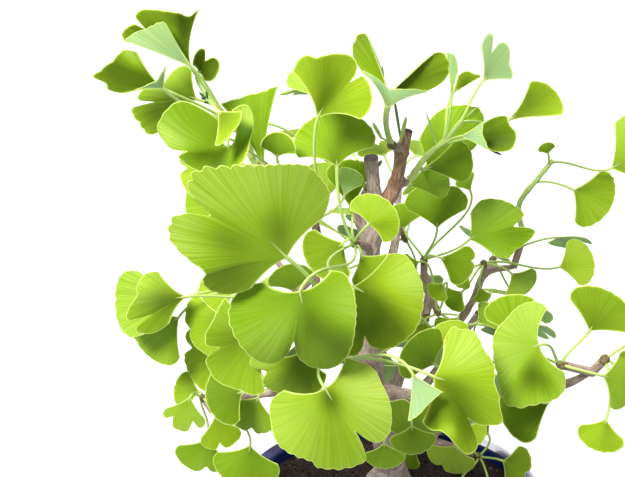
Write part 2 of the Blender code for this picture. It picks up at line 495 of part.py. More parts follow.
def oval(inset, height):
    """A ring of points round the pot's oval, inset from its rim, in mm."""
    angle = circle_angles(POT_SIDES)
    x = (RIM_HALF[0] - inset * MM) * np.cos(angle)
    y = (RIM_HALF[1] - inset * MM) * np.sin(angle)
    return np.stack((x, y, np.full(POT_SIDES, height * MM)), axis=1)


def material(name, colour, roughness, metallic=0.0):
    made = bpy.data.materials.new(name)
    made.use_nodes = True
    shader = made.node_tree.nodes["Principled BSDF"]
    shader.inputs["Base Color"].default_value = (*colour, 1)
    shader.inputs["Roughness"].default_value = roughness
    shader.inputs["Metallic"].default_value = metallic
    return made


def solid(name, points, faces, finish=None):
    """A new object from points and faces, smooth where its faces meet at a low angle."""
    mesh = bpy.data.meshes.new(name)
    mesh.from_pydata([tuple(point) for point in points], [], faces)
    mesh.update()
    thing = bpy.data.objects.new(name, mesh)
    bpy.context.scene.collection.objects.link(thing)
    if finish:
        mesh.materials.append(finish)
    return thing


def settle(thing):
    """Makes the object's modifiers part of its mesh."""
    settled = bpy.data.meshes.new_from_object(thing.evaluated_get(bpy.context.evaluated_depsgraph_get()))
    thing.modifiers.clear()
    thing.data = settled
    settled.shade_smooth()
    settled.set_sharp_from_angle(angle=SMOOTH_ANGLE)


def combine(thing, others, operation):
    """Joins the other solids to the thing, or cuts them out of it, and removes them."""
    group = bpy.data.collections.new("others")
    bpy.context.scene.collection.children.link(group)
    for other in others:
        bpy.context.scene.collection.objects.unlink(other)
        group.objects.link(other)
    step = thing.modifiers.new(operation.title(), "BOOLEAN")
    step.operation = operation
    step.operand_type = "COLLECTION"
    step.collection = group
    step.solver = "EXACT"
    settle(thing)
    for other in others:
        bpy.data.objects.remove(other)
    bpy.data.collections.remove(group)


def block(low, high):
    """A box from its lowest to its highest corner."""
    corners = [(x, y, z) for z in (low[2], high[2]) for y in (low[1], high[1]) for x in (low[0], high[0])]
    faces = [(0, 2, 3, 1), (4, 5, 7, 6), (0, 1, 5, 4), (2, 6, 7, 3), (0, 4, 6, 2), (1, 3, 7, 5)]
    return solid("block", corners, faces)


def screen_places():
    return (("drain_screen_left", -DRAIN_AT), ("drain_screen_right", DRAIN_AT))


def pot_shape():
    """The points and faces of the pot's wall and floor, before its feet and holes are cut."""
    rings = [oval(inset, height) for inset, height in POT_OUTSIDE + POT_INSIDE]
    faces = ring_faces(len(rings), POT_SIDES)
    faces.append(tuple(range(POT_SIDES))[::-1])
    faces.append(tuple(range((len(rings) - 1) * POT_SIDES, len(rings) * POT_SIDES)))
    return np.vstack(rings), faces


def make_pot(glaze):
    """An oval pot, cut below into four feet, with two drain holes."""
    pot = solid("pot", *pot_shape(), glaze)
    below, above = -FLOOR_TOP, 2 * FLOOR_TOP
    cutters = [block(np.array((-x / 2 * MM, -y / 2 * MM, below)), mm(x / 2, y / 2, top))
               for x, y, top in FOOT_GAPS]
    for name, x in screen_places():
        line = np.array(((x, 0, below), (x, 0, above)))
        cutters.append(solid("drain", *tube(line, (DRAIN_RADIUS, DRAIN_RADIUS), DRAIN_SIDES)))
    combine(pot, cutters, "DIFFERENCE")


def make_screens(plastic):
    """A square mesh over each drain hole."""
    low = FLOOR_TOP + REST_GAP
    pitch = SCREEN_SIDE / (SCREEN_HOLES + 0.5)
    for name, x in screen_places():
        half = np.array((SCREEN_SIDE / 2, SCREEN_SIDE / 2, 0))
        middle = np.array((x, 0, low))
        screen = block(middle - half, middle + half + (0, 0, SCREEN_THICK))
        screen.name = name
        screen.data.materials.append(plastic)
        holes = []
        for column in range(SCREEN_HOLES):
            for row in range(SCREEN_HOLES):
                at = np.array((column, row, 0)) - (SCREEN_HOLES - 1) / 2 * np.array((1, 1, 0))
                hole = middle + at * pitch
                reach = np.array((SCREEN_HOLE / 2, SCREEN_HOLE / 2, 2 * SCREEN_THICK))
                holes.append(block(hole - reach, hole + reach))
        combine(screen, holes, "DIFFERENCE")


def flare(grow=0.0):
    """The lobed foot of the trunk where its roots spread, and the same with room round it."""
    angle = circle_angles(FLARE_SIDES)
    lobes = np.cos(FLARE_LOBES * angle + FLARE_TWIST * np.sin(angle))
    rings = []
    for height, radius, depth in FLARE:
        around = radius * MM * (1 + depth * lobes) + grow
        rings.append(np.stack((around * np.cos(angle), around * np.sin(angle),
                               np.full(FLARE_SIDES, height * MM - grow)), axis=1))
    faces = ring_faces(len(rings), FLARE_SIDES)
    faces.append(tuple(range(FLARE_SIDES))[::-1])
    faces.append(tuple(range((len(rings) - 1) * FLARE_SIDES, len(rings) * FLARE_SIDES)))
    return solid("flare", np.vstack(rings), faces)


def soil_shape():
    """The points and faces of soil that fills the pot, heaped to the trunk and rough on top."""
    gap, top = REST_GAP / MM, SOIL_EDGE / MM
    sections = sorted((height, inset) for inset, height in POT_INSIDE)
    wall = [(inset, height) for height, inset in sections if height < top]
    wall[0] = (wall[0][0], wall[0][1] + gap)
    wall.append((np.interp(top, *zip(*sections)), top))
    rings = [oval(inset + gap, height) for inset, height in wall]
    edge = rings[-1]
    for share in SOIL_SHARES:
        ring = edge * (share, share, 1)
        lift = SOIL_HEAP * (1 - share ** 2)
        grains = [noise.noise(Vector(point) / SOIL_GRAIN) for point in ring]
        ring[:, 2] += lift + SOIL_RELIEF * np.array(grains)
        rings.append(ring)
    faces = ring_faces(len(rings), POT_SIDES)
    faces.append(tuple(range(POT_SIDES))[::-1])
    last = (len(rings) - 1) * POT_SIDES
    points = np.vstack(rings + [[(0, 0, SOIL_EDGE + SOIL_HEAP)]])
    faces += [(last + k, last + (k + 1) % POT_SIDES, len(points) - 1) for k in range(POT_SIDES)]
    return points, faces


def make_soil(earth):
    """The soil, with a hole for the roots and room for the screens."""
    soil = solid("soil", *soil_shape(), earth)
    cutters = [flare(REST_GAP)]
    for name, x in screen_places():
        half = SCREEN_SIDE / 2 + REST_GAP
        low, high = FLOOR_TOP - 2 * MM, FLOOR_TOP + SCREEN_THICK + 2 * REST_GAP
        cutters.append(block((x - half, -half, low), (x + half, half, high)))
    combine(soil, cutters, "DIFFERENCE")


def bent(distance, reach, turn):
    """A straight line of the given distances, bent in an arc that turns by turn at reach: the
    distances along the line's first direction and off it."""
    if abs(turn) < 1e-4:
        return distance, np.zeros_like(distance)
    rate = turn / reach
    return np.sin(rate * distance) / rate, (1 - np.cos(rate * distance)) / rate


class Leaf:
    """A fan leaf's shape: its blade as a function of place across and along the fan, and its stalk.
    It faces the viewer, and slides along the line of sight, unless up says where it faces."""

    def __init__(self, spec, slide=0.0, extra_roll=0.0, up=None):
        self.base = place(spec["base"])
        tip = place(spec["tip"])
        sight = unit(self.base - EYE)
        if up is None:
            self.base = self.base + sight * slide
            tip = tip + sight * slide
        self.radius = np.linalg.norm(tip - self.base)
        self.middle = (tip - self.base) / self.radius
        facing = -sight if up is None else up
        facing = unit(facing - self.middle * (facing @ self.middle))
        side = np.cross(self.middle, facing)
        roll = math.radians(spec["roll"] + extra_roll)
        self.up = facing * math.cos(roll) + side * math.sin(roll)
        self.side = np.cross(self.middle, self.up)
        self.half = math.radians(spec["half"])
        self.left, self.right, self.droop = (math.radians(spec[k]) for k in ("left", "right", "droop"))
        flip = -1 if abs(spec["roll"]) > 90 else 1
        self.rim = sorted((flip * s, r) for s, r in spec["rim"])
        self.splits = [(flip * s, depth, width) for s, depth, width in spec["splits"]]
        self.waves = [(flip * s, width, height) for s, width, height in spec["waves"]]
        self.stalk_bow = spec["bow"]
        self.neck = spec["neck"]
        self.stem = spec["stem"]
        self.ruled = up is not None

    def rim_radius(self, s):
        """The margin's distance from the base across the fan: a cubic curve through the rim's
        points, level with the chord of each point's neighbours, less a bell for each split."""
        places, radii = np.array(self.rim).T
        around = np.concatenate(([0], np.arange(len(places)), [len(places) - 1]))
        slopes = (radii[around[2:]] - radii[around[:-2]]) / (places[around[2:]] - places[around[:-2]])
        cell = np.clip(np.searchsorted(places, s) - 1, 0, len(places) - 2)
        width = places[cell + 1] - places[cell]
        t = np.clip((s - places[cell]) / width, 0, 1)
        radius = (radii[cell] * (1 + 2 * t) * (1 - t) ** 2 + radii[cell + 1] * (3 - 2 * t) * t ** 2
                  + width * (slopes[cell] * t * (1 - t) ** 2 + slopes[cell + 1] * (t - 1) * t ** 2))
        for at, depth, width in self.splits:
            radius = radius - depth * np.exp(-((s - at) / width) ** 2)
        return radius * self.radius

    def blade(self, s, t):
        """Points of the blade's middle surface. s runs across the fan from -1 to 1 and t from the
        base to the margin. The flat fan's point is at angle s times the half opening, which
        narrows to the base, and at t times the rim's radius. The sides then bend up in arcs about
        the midline, the midline droops in an arc, and waves rise along rays towards the margin."""
        angle = s * self.half * (self.neck + (1 - self.neck) * t ** NECK_POWER)
        reach = t * self.rim_radius(s)
        x = reach * np.sin(angle) + s * (1 - t) * self.stem * STALK_WIDTH / 2
        y = reach * np.cos(angle)
        width = self.radius * math.sin(min(self.half, math.pi / 2))
        right_x, right_z = bent(np.maximum(x, 0), width, self.right)
        left_x, left_z = bent(np.maximum(-x, 0), width, self.left)
        z = right_z + left_z
        for at, spread, height in self.waves:
            z = z + height * self.radius * t * t * np.exp(-((s - at) / spread) ** 2)
        forward, drop = bent(np.maximum(y, 0), self.radius, self.droop)
        lean = self.droop * np.maximum(y, 0) / self.radius
        forward = forward + np.minimum(y, 0) + z * np.sin(lean)
        rise = z * np.cos(lean) - drop
        across = right_x - left_x
        return (self.base + across[..., None] * self.side + forward[..., None] * self.middle
                + rise[..., None] * self.up)

    def stalk(self, root, leave, count):
        """Points of the stalk from its root to the blade: a cubic curve that leaves the root in
        one direction, arrives along the midline, and bows to the side."""
        span = self.base - root
        length = np.linalg.norm(span)
        aside = np.cross(span, EYE - root)
        aside *= length * self.stalk_bow / np.linalg.norm(aside)
        first = root + leave * length * STALK_REACH + aside
        second = self.base - self.middle * length * STALK_REACH + aside
        t = np.linspace(0, 1, count)[:, None]
        return ((1 - t) ** 3 * root + 3 * t * (1 - t) ** 2 * first + 3 * t * t * (1 - t) * second
                + t ** 3 * self.base)


def row_across(shape, t, count):
    """A row of count places inside the margin: each t of the way to the nearest of the margin
    beside it, so that the row passes inside every notch."""
    s = np.linspace(-1, 1, count)
    beside = s[:, None] + np.linspace(-1, 1, NOTCH_TRIES) * 2 / (count - 1)
    nearest = shape.rim_radius(np.clip(beside, -1, 1)).min(axis=1)
    return s, t * nearest / shape.rim_radius(s)


def fan_rows(shape):
    """The blade's rows of points, each as places across and shares of the way to the margin. The
    margin's row has a point at each rim point and split."""
    margin = {s for s, radius in shape.rim}
    if margin == {s for s, radius in ROUND_RIM}:
        margin = set(PLAIN_MARGIN)
    for at, depth, width in shape.splits:
        margin = {s for s in margin if abs(s - at) > SPLIT_SPAN * width or abs(s) == 1}
        margin |= {at, max(at - 2 * width, -1), min(at + 2 * width, 1)}
    inner = RULED_ROWS if shape.ruled else WIDE_ROWS if len(margin) > MANY else PLAIN_ROWS
    rows = [row_across(shape, t, count) for t, count in inner]
    return rows + [(np.array(sorted(margin)), np.ones(len(margin)))]


def zip_rows(inner, outer, reach):
    """Triangles between two rows of places across, numbered on from 0. Each step of the inner row
    meets the outer point beside it that has the least reach, and is nearest to the step's middle,
    so that no triangle bridges a notch."""
    faces = []
    first = len(inner)
    met = 0
    for k, place_across in enumerate(inner):
        apex = len(outer) - 1
        if k < len(inner) - 1:
            middle, half = (place_across + inner[k + 1]) / 2, (inner[k + 1] - place_across) / 2
            off = np.abs(outer - middle) / half
            off[:met] = np.inf
            apex = int(np.argmin(np.where(off > 1, 10 * off, reach + NOTCH_PULL * off)))
        faces += [(k, first + j + 1, first + j) for j in range(met, apex)]
        if k < len(inner) - 1:
            faces.append((k, k + 1, first + apex))
        met = apex
    return faces


def corner_normals(points, triangles):
    """Unit normals at the points: the sum of their triangles' normals by area."""
    a, b, c = (points[triangles[:, corner]] for corner in range(3))
    across = np.cross(b - a, c - a)
    total = np.zeros_like(points)
    for corner in range(3):
        np.add.at(total, triangles[:, corner], across)
    return total / np.linalg.norm(total, axis=1)[:, None]


def stalk_count(shape, root, leave):
    """How many points a stalk's line has: more for a long one, and for one that turns far."""
    turn = math.acos(np.clip(leave @ shape.middle, -1, 1))
    return 3 + int(np.linalg.norm(root - shape.base) > LONG_STALK) + int(turn / STALK_TURN)


def leaf_solid(shape, root, leave, room=0.0, stalk_room=0.0, skip=0):
    """A leaf's closed solid, blade and stalk in one: points and faces. room and stalk_room make it
    thicker, and skip leaves out that many of the stalk's rings at the root, for clearance tests."""
    rows = fan_rows(shape)
    s, t = (np.concatenate(parts) for parts in zip(*rows))
    middle = shape.blade(s, t)
    count = len(s)
    faces = []
    starts = np.cumsum([0] + [len(places) for places, shares in rows])
    for k in range(len(rows) - 1):
        outer, share = rows[k + 1]
        reach = share * shape.rim_radius(outer) / shape.radius
        between = zip_rows(rows[k][0], outer, reach)
        faces += [tuple(int(starts[k]) + corner for corner in face) for face in between]
    normal = corner_normals(middle, np.array(faces))
    normal[:2] = shape.up
    thick = (BLADE_THICK + BASE_EXTRA * (1 - t)) / 2 + room
    top = middle + normal * thick[:, None]
    bottom = middle - normal * thick[:, None]
    faces += [tuple(count + p for p in face[::-1]) for face in faces]
    outline = list(starts[:-1]) + list(range(starts[-2] + 1, starts[-1]))
    outline += [starts[k + 1] - 1 for k in range(len(rows) - 2, -1, -1)]
    for a, b in zip(outline, outline[1:]):
        faces += [(a, b, count + a), (b, count + b, count + a)]
    line = shape.stalk(root, leave, stalk_count(shape, root, leave))
    tangents, sides, normals = frames_along(line[::-1], shape.side)
    rings = []
    for k in range(1, len(line) - skip):
        share = k / (len(line) - 1)
        wide = shape.stem * STALK_WIDTH / 2 + stalk_room
        deep = (1 - share) * (BLADE_THICK + BASE_EXTRA) / 2 + share * shape.stem * STALK_THICK / 2
        deep += stalk_room
        across, up = sides[k] * wide, np.cross(sides[k], -tangents[k]) * deep
        centre = line[::-1][k]
        rings.append((centre - across - up, centre + across - up, centre + across + up, centre - across + up))
    points = np.vstack([top, bottom] + rings)
    ring = [count, count + 1, 1, 0]
    for k in range(len(rings)):
        after = [2 * count + 4 * k + corner for corner in range(4)]
        for a in range(4):
            b = (a + 1) % 4
            faces += [(ring[a], ring[b], after[b]), (ring[a], after[b], after[a])]
        ring = after
    faces.append(tuple(ring))
    return points, faces


def tree_of(points, faces):
    return BVHTree.FromPolygons([tuple(p) for p in points], faces)


def nearest_on(line, point):
    return line[np.argmin(np.linalg.norm(line - point, axis=1))]


def wood_lines():
    """Each branch's smooth centre line with its radii as a fourth column."""
    lines = {}
    for name, (points, radii) in WOOD.items():
        rows = [np.append(place(point), radius * MM) for point, radius in zip(points, radii)]
        lines[name] = curve_through(rows, WOOD_STEP)
    return lines


def spur_line(branch, root):
    """A short spur to the place where a spray starts, sunk past the branch's middle."""
    middle = nearest_on(branch[:, :3], root)
    return np.array((middle - unit(root - middle) * SPUR_SINK, root))


class Spray:
    """A spray of leaves: its stem, from just off its spur's end, and the leaves placed so far."""

    def __init__(self, name, branch, stem, wood):
        self.name = name
        root = place(stem[0])
        self.spur = spur_line(wood[branch], root)
        heading = unit(self.spur[1] - self.spur[0])
        start = root + heading * WOOD_GAP
        self.knob = len(stem) == 1
        if self.knob:
            self.line = start + np.linspace(0, 1, len(KNOB_SHARES))[:, None] * heading * KNOB_LENGTH
            self.radii = np.array(KNOB_SHARES) * KNOB_RADIUS
        else:
            stem = [start, start + heading * SHOOT_STRAIGHT] + [place(point) for point in stem[1:]]
            self.line = curve_through(stem, SHOOT_STEP)
            self.radii = np.linspace(*SHOOT_SHARES, len(self.line)) * KNOB_RADIUS
        self.leaves = []
        self.outer = []

    def root_of(self, at):
        """The place on the stem where a leaf grows, and the stem's direction there."""
        if self.knob:
            return self.line[1], unit(self.line[-1] - self.line[0])
        where = min(at, LAST_PLACE) * (len(self.line) - 1)
        k = min(int(where), len(self.line) - 2)
        step = self.line[k + 1] - self.line[k]
        return self.line[k] + step * (where - k), unit(step)


def clear_of(shape, root, leave, spray, fixed, trees):
    """Whether a leaf has room: its outer part from its own spray, and all of it from the others
    and from what is fixed, the wood, pot and soil."""
    whole = tree_of(*leaf_solid(shape, root, leave, CLEARANCE / 2, CLEARANCE / 4, 0))
    if whole.overlap(fixed):
        return False
    for other, tree in trees:
        if other is not spray and whole.overlap(tree):
            return False
    outer = tree_of(*leaf_solid(shape, root, leave, CLEARANCE / 2, CLEARANCE / 4, 2))
    return not any(outer.overlap(tree) for tree in spray.outer)


def leave_direction(shape, root, along):
    """A stalk leaves its stem partly along the stem and mostly towards its blade."""
    return unit(along * ALONG_SHARE + unit(shape.base - root))


def add_leaf(spray, shape, root, leave, trees):
    spray.leaves.append((shape, root, leave))
    trees.append((spray, tree_of(*leaf_solid(shape, root, leave))))
    spray.outer.append(tree_of(*leaf_solid(shape, root, leave, 0, 0, 2)))


def place_seen(spray, specs, fixed, trees):
    """Places a spray's leaves where they are seen, each slid along its line of sight, and if need
    be rolled a little or given another bow, until it is clear of what is there."""
    for spec in specs:
        root, along = spray.root_of(spec["at"])
        for extra_bow, extra_roll, slide in itertools.product(EXTRA_BOWS, EXTRA_ROLLS, SLIDES):
            shape = Leaf(spec, slide * MM, extra_roll)
            shape.stalk_bow += extra_bow
            leave = leave_direction(shape, root, along)
            if clear_of(shape, root, leave, spray, fixed, trees):
                add_leaf(spray, shape, root, leave, trees)
                break


def inside_outline(u, v):
    """Whether each picture point lies in the crown's outline, by counting crossings."""
    corners = np.array(OUTLINE)
    following = np.roll(corners, -1, axis=0)
    inside = np.zeros(len(u), bool)
    for (u1, v1), (u2, v2) in zip(corners, following):
        crosses = (v1 > v) != (v2 > v)
        at = u1 + (v - v1) / (v2 - v1 if v2 != v1 else 1) * (u2 - u1)
        inside ^= crosses & (u < at)
    return inside


def fits_picture(shape):
    """Whether a ruled leaf keeps to the crown, and where it would be seen, behind the placed
    leaves, in the outline and off the clear patches."""
    s = np.tile(TEST_PLACES, 2)
    t = np.repeat((0.5, 1.0), len(TEST_PLACES))
    points = np.vstack((shape.blade(s, t), shape.base))
    offset = (points - CROWN_MIDDLE) / CROWN_HALF
    if np.max(np.sum(offset ** CROWN_POWERS, axis=1)) > 1 or np.min(points[:, 2]) < CROWN_FLOOR:
        return False
    u, v = picture_of(points)
    shown = (u < PICTURE_SIZE[0] + EDGE_ROOM) & (v < PICTURE_SIZE[1] + EDGE_ROOM)
    if not shown.any():
        return True
    if np.min(points[shown][:, 1]) < BEHIND or not inside_outline(u, v)[shown].all():
        return False
    return all((np.hypot(u - at_u, v - at_v) > radius).all() for at_u, at_v, radius in CLEAR)


def place_ruled(spray, count, rng, fixed, trees):
    """Grows leaves round a spur by the golden angle, drawn until each has room."""
    root, along = spray.root_of(1.0)
    upright = np.array((0, 0, 1.0))
    outward = unit(root - CROWN_MIDDLE)
    first = unit(np.cross(outward, upright))
    second = np.cross(outward, first)
    turn = rng.uniform(0, 2 * math.pi)
    for number in range(count):
        for attempt in range(RULE_TRIES):
            drawn = {name: rng.uniform(*span) for name, span in DRAWN.items()}
            angle = turn + number * GOLDEN_ANGLE + math.radians(drawn["turn"])
            around = first * math.cos(angle) + second * math.sin(angle)
            away = unit(outward + around * drawn["spread"] + upright * UPWARD_SHARE)
            base = root + away * drawn["stalk"] * MM
            heading = unit(away + outward * OUTWARD_SHARE + upright * drawn["sink"])
            spec = leaf(base, base + heading * drawn["size"] * MM, half=drawn["half"], roll=drawn["roll"],
                        left=drawn["left"], right=drawn["right"], droop=drawn["droop"], bow=drawn["bow"],
                        splits=((drawn["split_at"], drawn["split_depth"], SPLIT_WIDTH),),
                        waves=((drawn["wave_at"], WAVE_WIDTH, drawn["wave_height"]),))
            shape = Leaf(spec, up=upright + outward * FACING_SHARE)
            if not fits_picture(shape):
                continue
            leave = leave_direction(shape, root, along)
            if clear_of(shape, root, leave, spray, fixed, trees):
                add_leaf(spray, shape, root, leave, trees)
                break


def ruled_stems(wood):
    """The stem places of the sprays that follow the rule, off their branches to the outside."""
    for branch, shares, count in RULED:
        line = wood[branch][:, :3]
        for number, share in enumerate(shares):
            where = share * (len(line) - 1)
            k = min(int(where), len(line) - 2)
            along = unit(line[k + 1] - line[k])
            turn = FIRST_TURN + TURN_STEP * number
            aside = unit(np.cross(along, (0, 0, 1.0)))
            above = np.cross(aside, along)
            off = aside * math.cos(turn) + above * math.sin(turn) + along * SPUR_LEAN
            start = line[k] + (line[k + 1] - line[k]) * (where - k)
            start = start + (along if share == 1.0 else off) * SPUR_REACH
            yield f"{branch}_{number + 1}", branch, [start], count


def wood_tubes(wood, sprays):
    """The points and faces of each branch and spur, the trunk first."""
    for name, line in wood.items():
        sides = TRUNK_SIDES if name == "trunk" else BRANCH_SIDES
        yield tube(line[:, :3], line[:, 3], sides)
    for spray in sprays:
        yield tube(spray.spur, (SPUR_RADIUS, SPUR_RADIUS), SPUR_SIDES)


def grow():
    """All the sprays with their leaves placed, and the wood's centre lines."""
    wood = wood_lines()
    sprays = [(Spray(name, branch, stem, wood), leaves) for name, (branch, stem, leaves) in SPRAYS.items()]
    ruled = [(Spray(name, branch, stem, wood), count) for name, branch, stem, count in ruled_stems(wood)]
    everyone = [spray for spray, more in sprays + ruled]
    points, faces = [], []
    for some_points, some_faces in [pot_shape(), soil_shape(), *wood_tubes(wood, everyone)]:
        faces += [tuple(len(points) + k for k in face) for face in some_faces]
        points += list(some_points)
    fixed = tree_of(points, faces)
    trees = [(spray, tree_of(*tube(spray.line, spray.radii, STEM_SIDES))) for spray in everyone]
    for spray, specs in sprays:
        place_seen(spray, specs, fixed, trees)
    rng = np.random.default_rng(RULE_SEED)
    for spray, count in ruled:
        place_ruled(spray, count, rng, fixed, trees)
    return wood, everyone


def make_wood(wood, sprays, bark):
    """The trunk with its root flare, branches and spurs, joined in one solid."""
    first, *others = wood_tubes(wood, sprays)
    thing = solid("trunk", *first, bark)
    combine(thing, [flare()] + [solid("branch", *other) for other in others], "UNION")


def make_spray(spray, green):
    """A spray in one solid: its stem and its leaves."""
    thing = solid("spray_" + spray.name, *tube(spray.line, spray.radii, STEM_SIDES), green)
    others = [solid("leaf", *leaf_solid(shape, root, leave)) for shape, root, leave in spray.leaves]
    combine(thing, others, "UNION")


def main():
    for thing in list(bpy.data.objects):
        bpy.data.objects.remove(thing)
    make_pot(material("glazed_stoneware", (0.012, 0.028, 0.16), 0.16))
    make_screens(material("screen_plastic", (0.03, 0.03, 0.03), 0.6))
    make_soil(material("potting_soil", (0.03, 0.014, 0.01), 0.95))
    wood, sprays = grow()
    make_wood(wood, sprays, material("bark", (0.2, 0.15, 0.12), 0.85))
    green = material("ginkgo_leaf", (0.22, 0.5, 0.03), 0.5)
    for spray in sprays:
        make_spray(spray, green)


main()
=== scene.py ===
"""The looks of a ginkgo bonsai in a glazed oval pot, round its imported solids: fine fan leaves with
veins and scalloped margins, bark, soil crumbs and glaze, and the studio that it stands in.

Metres, +Z up. The tables of branches and leaves are the part's own, so that every fine piece lies
where its solid is.
"""

import itertools
import math

import bpy
import numpy as np
from mathutils import Matrix
from mathutils.kdtree import KDTree


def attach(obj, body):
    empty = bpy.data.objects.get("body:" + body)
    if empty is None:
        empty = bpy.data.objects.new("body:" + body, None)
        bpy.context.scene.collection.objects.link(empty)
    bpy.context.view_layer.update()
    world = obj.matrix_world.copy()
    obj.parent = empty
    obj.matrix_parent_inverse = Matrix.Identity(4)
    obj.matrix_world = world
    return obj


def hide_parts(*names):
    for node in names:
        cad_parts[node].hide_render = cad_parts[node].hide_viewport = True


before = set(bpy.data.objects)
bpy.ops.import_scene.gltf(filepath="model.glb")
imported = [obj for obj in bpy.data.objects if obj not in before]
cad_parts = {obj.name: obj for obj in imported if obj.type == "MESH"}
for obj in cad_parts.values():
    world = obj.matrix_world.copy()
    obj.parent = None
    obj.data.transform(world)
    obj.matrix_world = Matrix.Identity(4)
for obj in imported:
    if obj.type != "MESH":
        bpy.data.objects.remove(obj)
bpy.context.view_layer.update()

MM = 0.001
BODY = "root"
TURN = 2 * math.pi
UPRIGHT = np.array((0, 0, 1.0))

# The viewer: eye, downward pitch, and picture units per unit of slope.
EYE = np.array((-0.048, -0.482, 0.479))
PITCH = math.radians(27)
SIGHT = 1000.0
PICTURE_MIDDLE = (312.5, 238.5)
FORWARD = np.array((0, math.cos(PITCH), -math.sin(PITCH)))
UPWARD = np.array((0, math.sin(PITCH), math.cos(PITCH)))
RIGHTWARD = np.array((1.0, 0, 0))
SENSOR = 36.0
PICTURE_WIDTH = 625
SECTION_START = np.array((0.3, 1.0, 0.1))

# The pot and its soil, as in the part.
RIM_HALF = (92 * MM, 66 * MM)
POT_OUTSIDE = ((24, 6), (23, 0), (15, 0), (8, 14), (5, 30), (3, 54), (0, 55.4), (0, 60.6), (1.2, 62))
POT_INSIDE = ((8, 62), (9.2, 60.8), (11, 30), (14, 16), (18, 11))
FLOOR_TOP = 11 * MM
FOOT_GAPS = ((60, 160, 4.6), (220, 36, 4.6))
DRAIN_AT = 34 * MM
DRAIN_RADIUS = 6 * MM
SOIL_EDGE = 54 * MM
SOIL_HEAP = 7 * MM
REST_GAP = 0.35 * MM

# The root flare, as (height, mean radius, depth of its lobes as a share of the radius) in mm.
FLARE = ((38, 13, 0.12), (52, 17, 0.2), (62, 14.4, 0.19), (70, 11, 0.1), (80, 8.4, 0.03))
FLARE_LOBES = 5
FLARE_TWIST = 0.6

# The leaf's solid as the part has it, by which its place is found again.
BLADE_THICK = 0.76 * MM
BASE_EXTRA = 0.3 * MM
NECK_POWER = 0.6
STALK_WIDTH = 1.5 * MM
STALK_THICK = 1.4 * MM
STALK_REACH = 0.34
STALK_RINGS = 3
LONG_STALK = 32 * MM
STALK_TURN = math.radians(50)
ALONG_SHARE = 0.5
SPUR_RADIUS = 2.2 * MM
SPUR_SINK = 1.2 * MM
KNOB_RADIUS = 2.3 * MM
KNOB_LENGTH = 5 * MM
KNOB_SHARES = (0.8, 1.0, 0.5)
SHOOT_SHARES = (0.85, 0.55)
SHOOT_STEP = 18 * MM
SHOOT_STRAIGHT = 3 * MM
LAST_PLACE = 0.96
WOOD_STEP = 25 * MM
WOOD_GAP = 0.45 * MM
STRAIGHT = 1e-4
GOLDEN_ANGLE = math.pi * (3 - math.sqrt(5))
SLIDES = sorted(range(-30, 32, 2), key=abs)
EXTRA_ROLLS = (0, 12, -12)
EXTRA_BOWS = (0, 0.12, -0.12, 0.24, -0.24)
ROUND_RIM = ((-1, 0.74), (-0.86, 0.9), (-0.6, 0.98), (0, 1), (0.6, 0.98), (0.86, 0.9), (1, 0.74))
PLAIN_MARGIN = (-1, -0.76, -0.28, 0.28, 0.76, 1)
SPLIT_SPAN = 3
MEETS = 0.04 * MM

# The fine leaf: how thick it is, and how much thicker at its base, over what reach.
LEAF_THICK = 0.42 * MM
BASE_THICKER = 0.9
BASE_REACH = 3 * MM
# The spacing of its columns and rows, the fewest and most of each, and the narrow last row.
GRID_ACROSS = 1.0 * MM
GRID_ALONG = 1.5 * MM
COLUMNS = (26, 150)
ROWS = (10, 34)
ROW_POWER = 0.85
LAST_ROW = 0.5 * MM
# Its margin: how wide and deep the scallops are, how warped and uneven, and how small a leaf's own
# are, then its ripple and its swell, as lengths and heights. A value named WAVES is how many random
# sines there are, and their lowest and highest frequency.
SCALLOP = 5.6 * MM
SCALLOP_DEPTH = (0.5, 1.2)
WARP = 1.7
WARP_WAVES = (3, 2, 5)
UNEVEN = (0.5, 1.3)
UNEVEN_WAVES = (3, 3, 9)
LARGE_RADIUS = 40 * MM
SMALL_SHARE = 0.5
RIPPLE = 9 * MM
RIPPLE_HEIGHT = (0.1, 0.3)
SWELL = 30 * MM
SWELL_HEIGHT = (0.03, 0.08)
# Its tone: the span of a random tone for a leaf that has none listed, the painted shade that darkens
# its base, the painted shade and light in streaks along its rays as of fold lines, and how long a
# painted patch is along the rays.
TONES = (-0.35, 0.4)
BASE_PAINTED_SHADE = 0.35
FOLD_PAINTED_SHADE = 0.16
FOLD_WAVES = (4, 1.5, 4.5)
PATCH_LENGTH = 1.6

# Stalks, knobs, shoots and buds.
STALK_STEP = 1.6 * MM
STALK_SIDES = 16
ROOT_SWELL = 0.3
END_SWELL = 0.12
GROOVE_DEPTH = 0.28
GROOVE_WIDTH = 0.45
RIDGE_POINTS = 6
RIDGE_PLACES = (0.02, 0.2)
RIDGE_WIDTHS = (0.9, 0.2)
STEM_SIDES = 14
KNOB_STEP = 0.35 * MM
SCAR_STEP = 1.1 * MM
SCAR_RISE = 0.07
SHOOT_GRID = 1.2 * MM
SHOOT_JOINTS = 4
JOINT_RISE = 0.22
JOINT_WIDTH = 0.12
BUD_POINTS = 12
BUD_TIP = 0.03 * MM

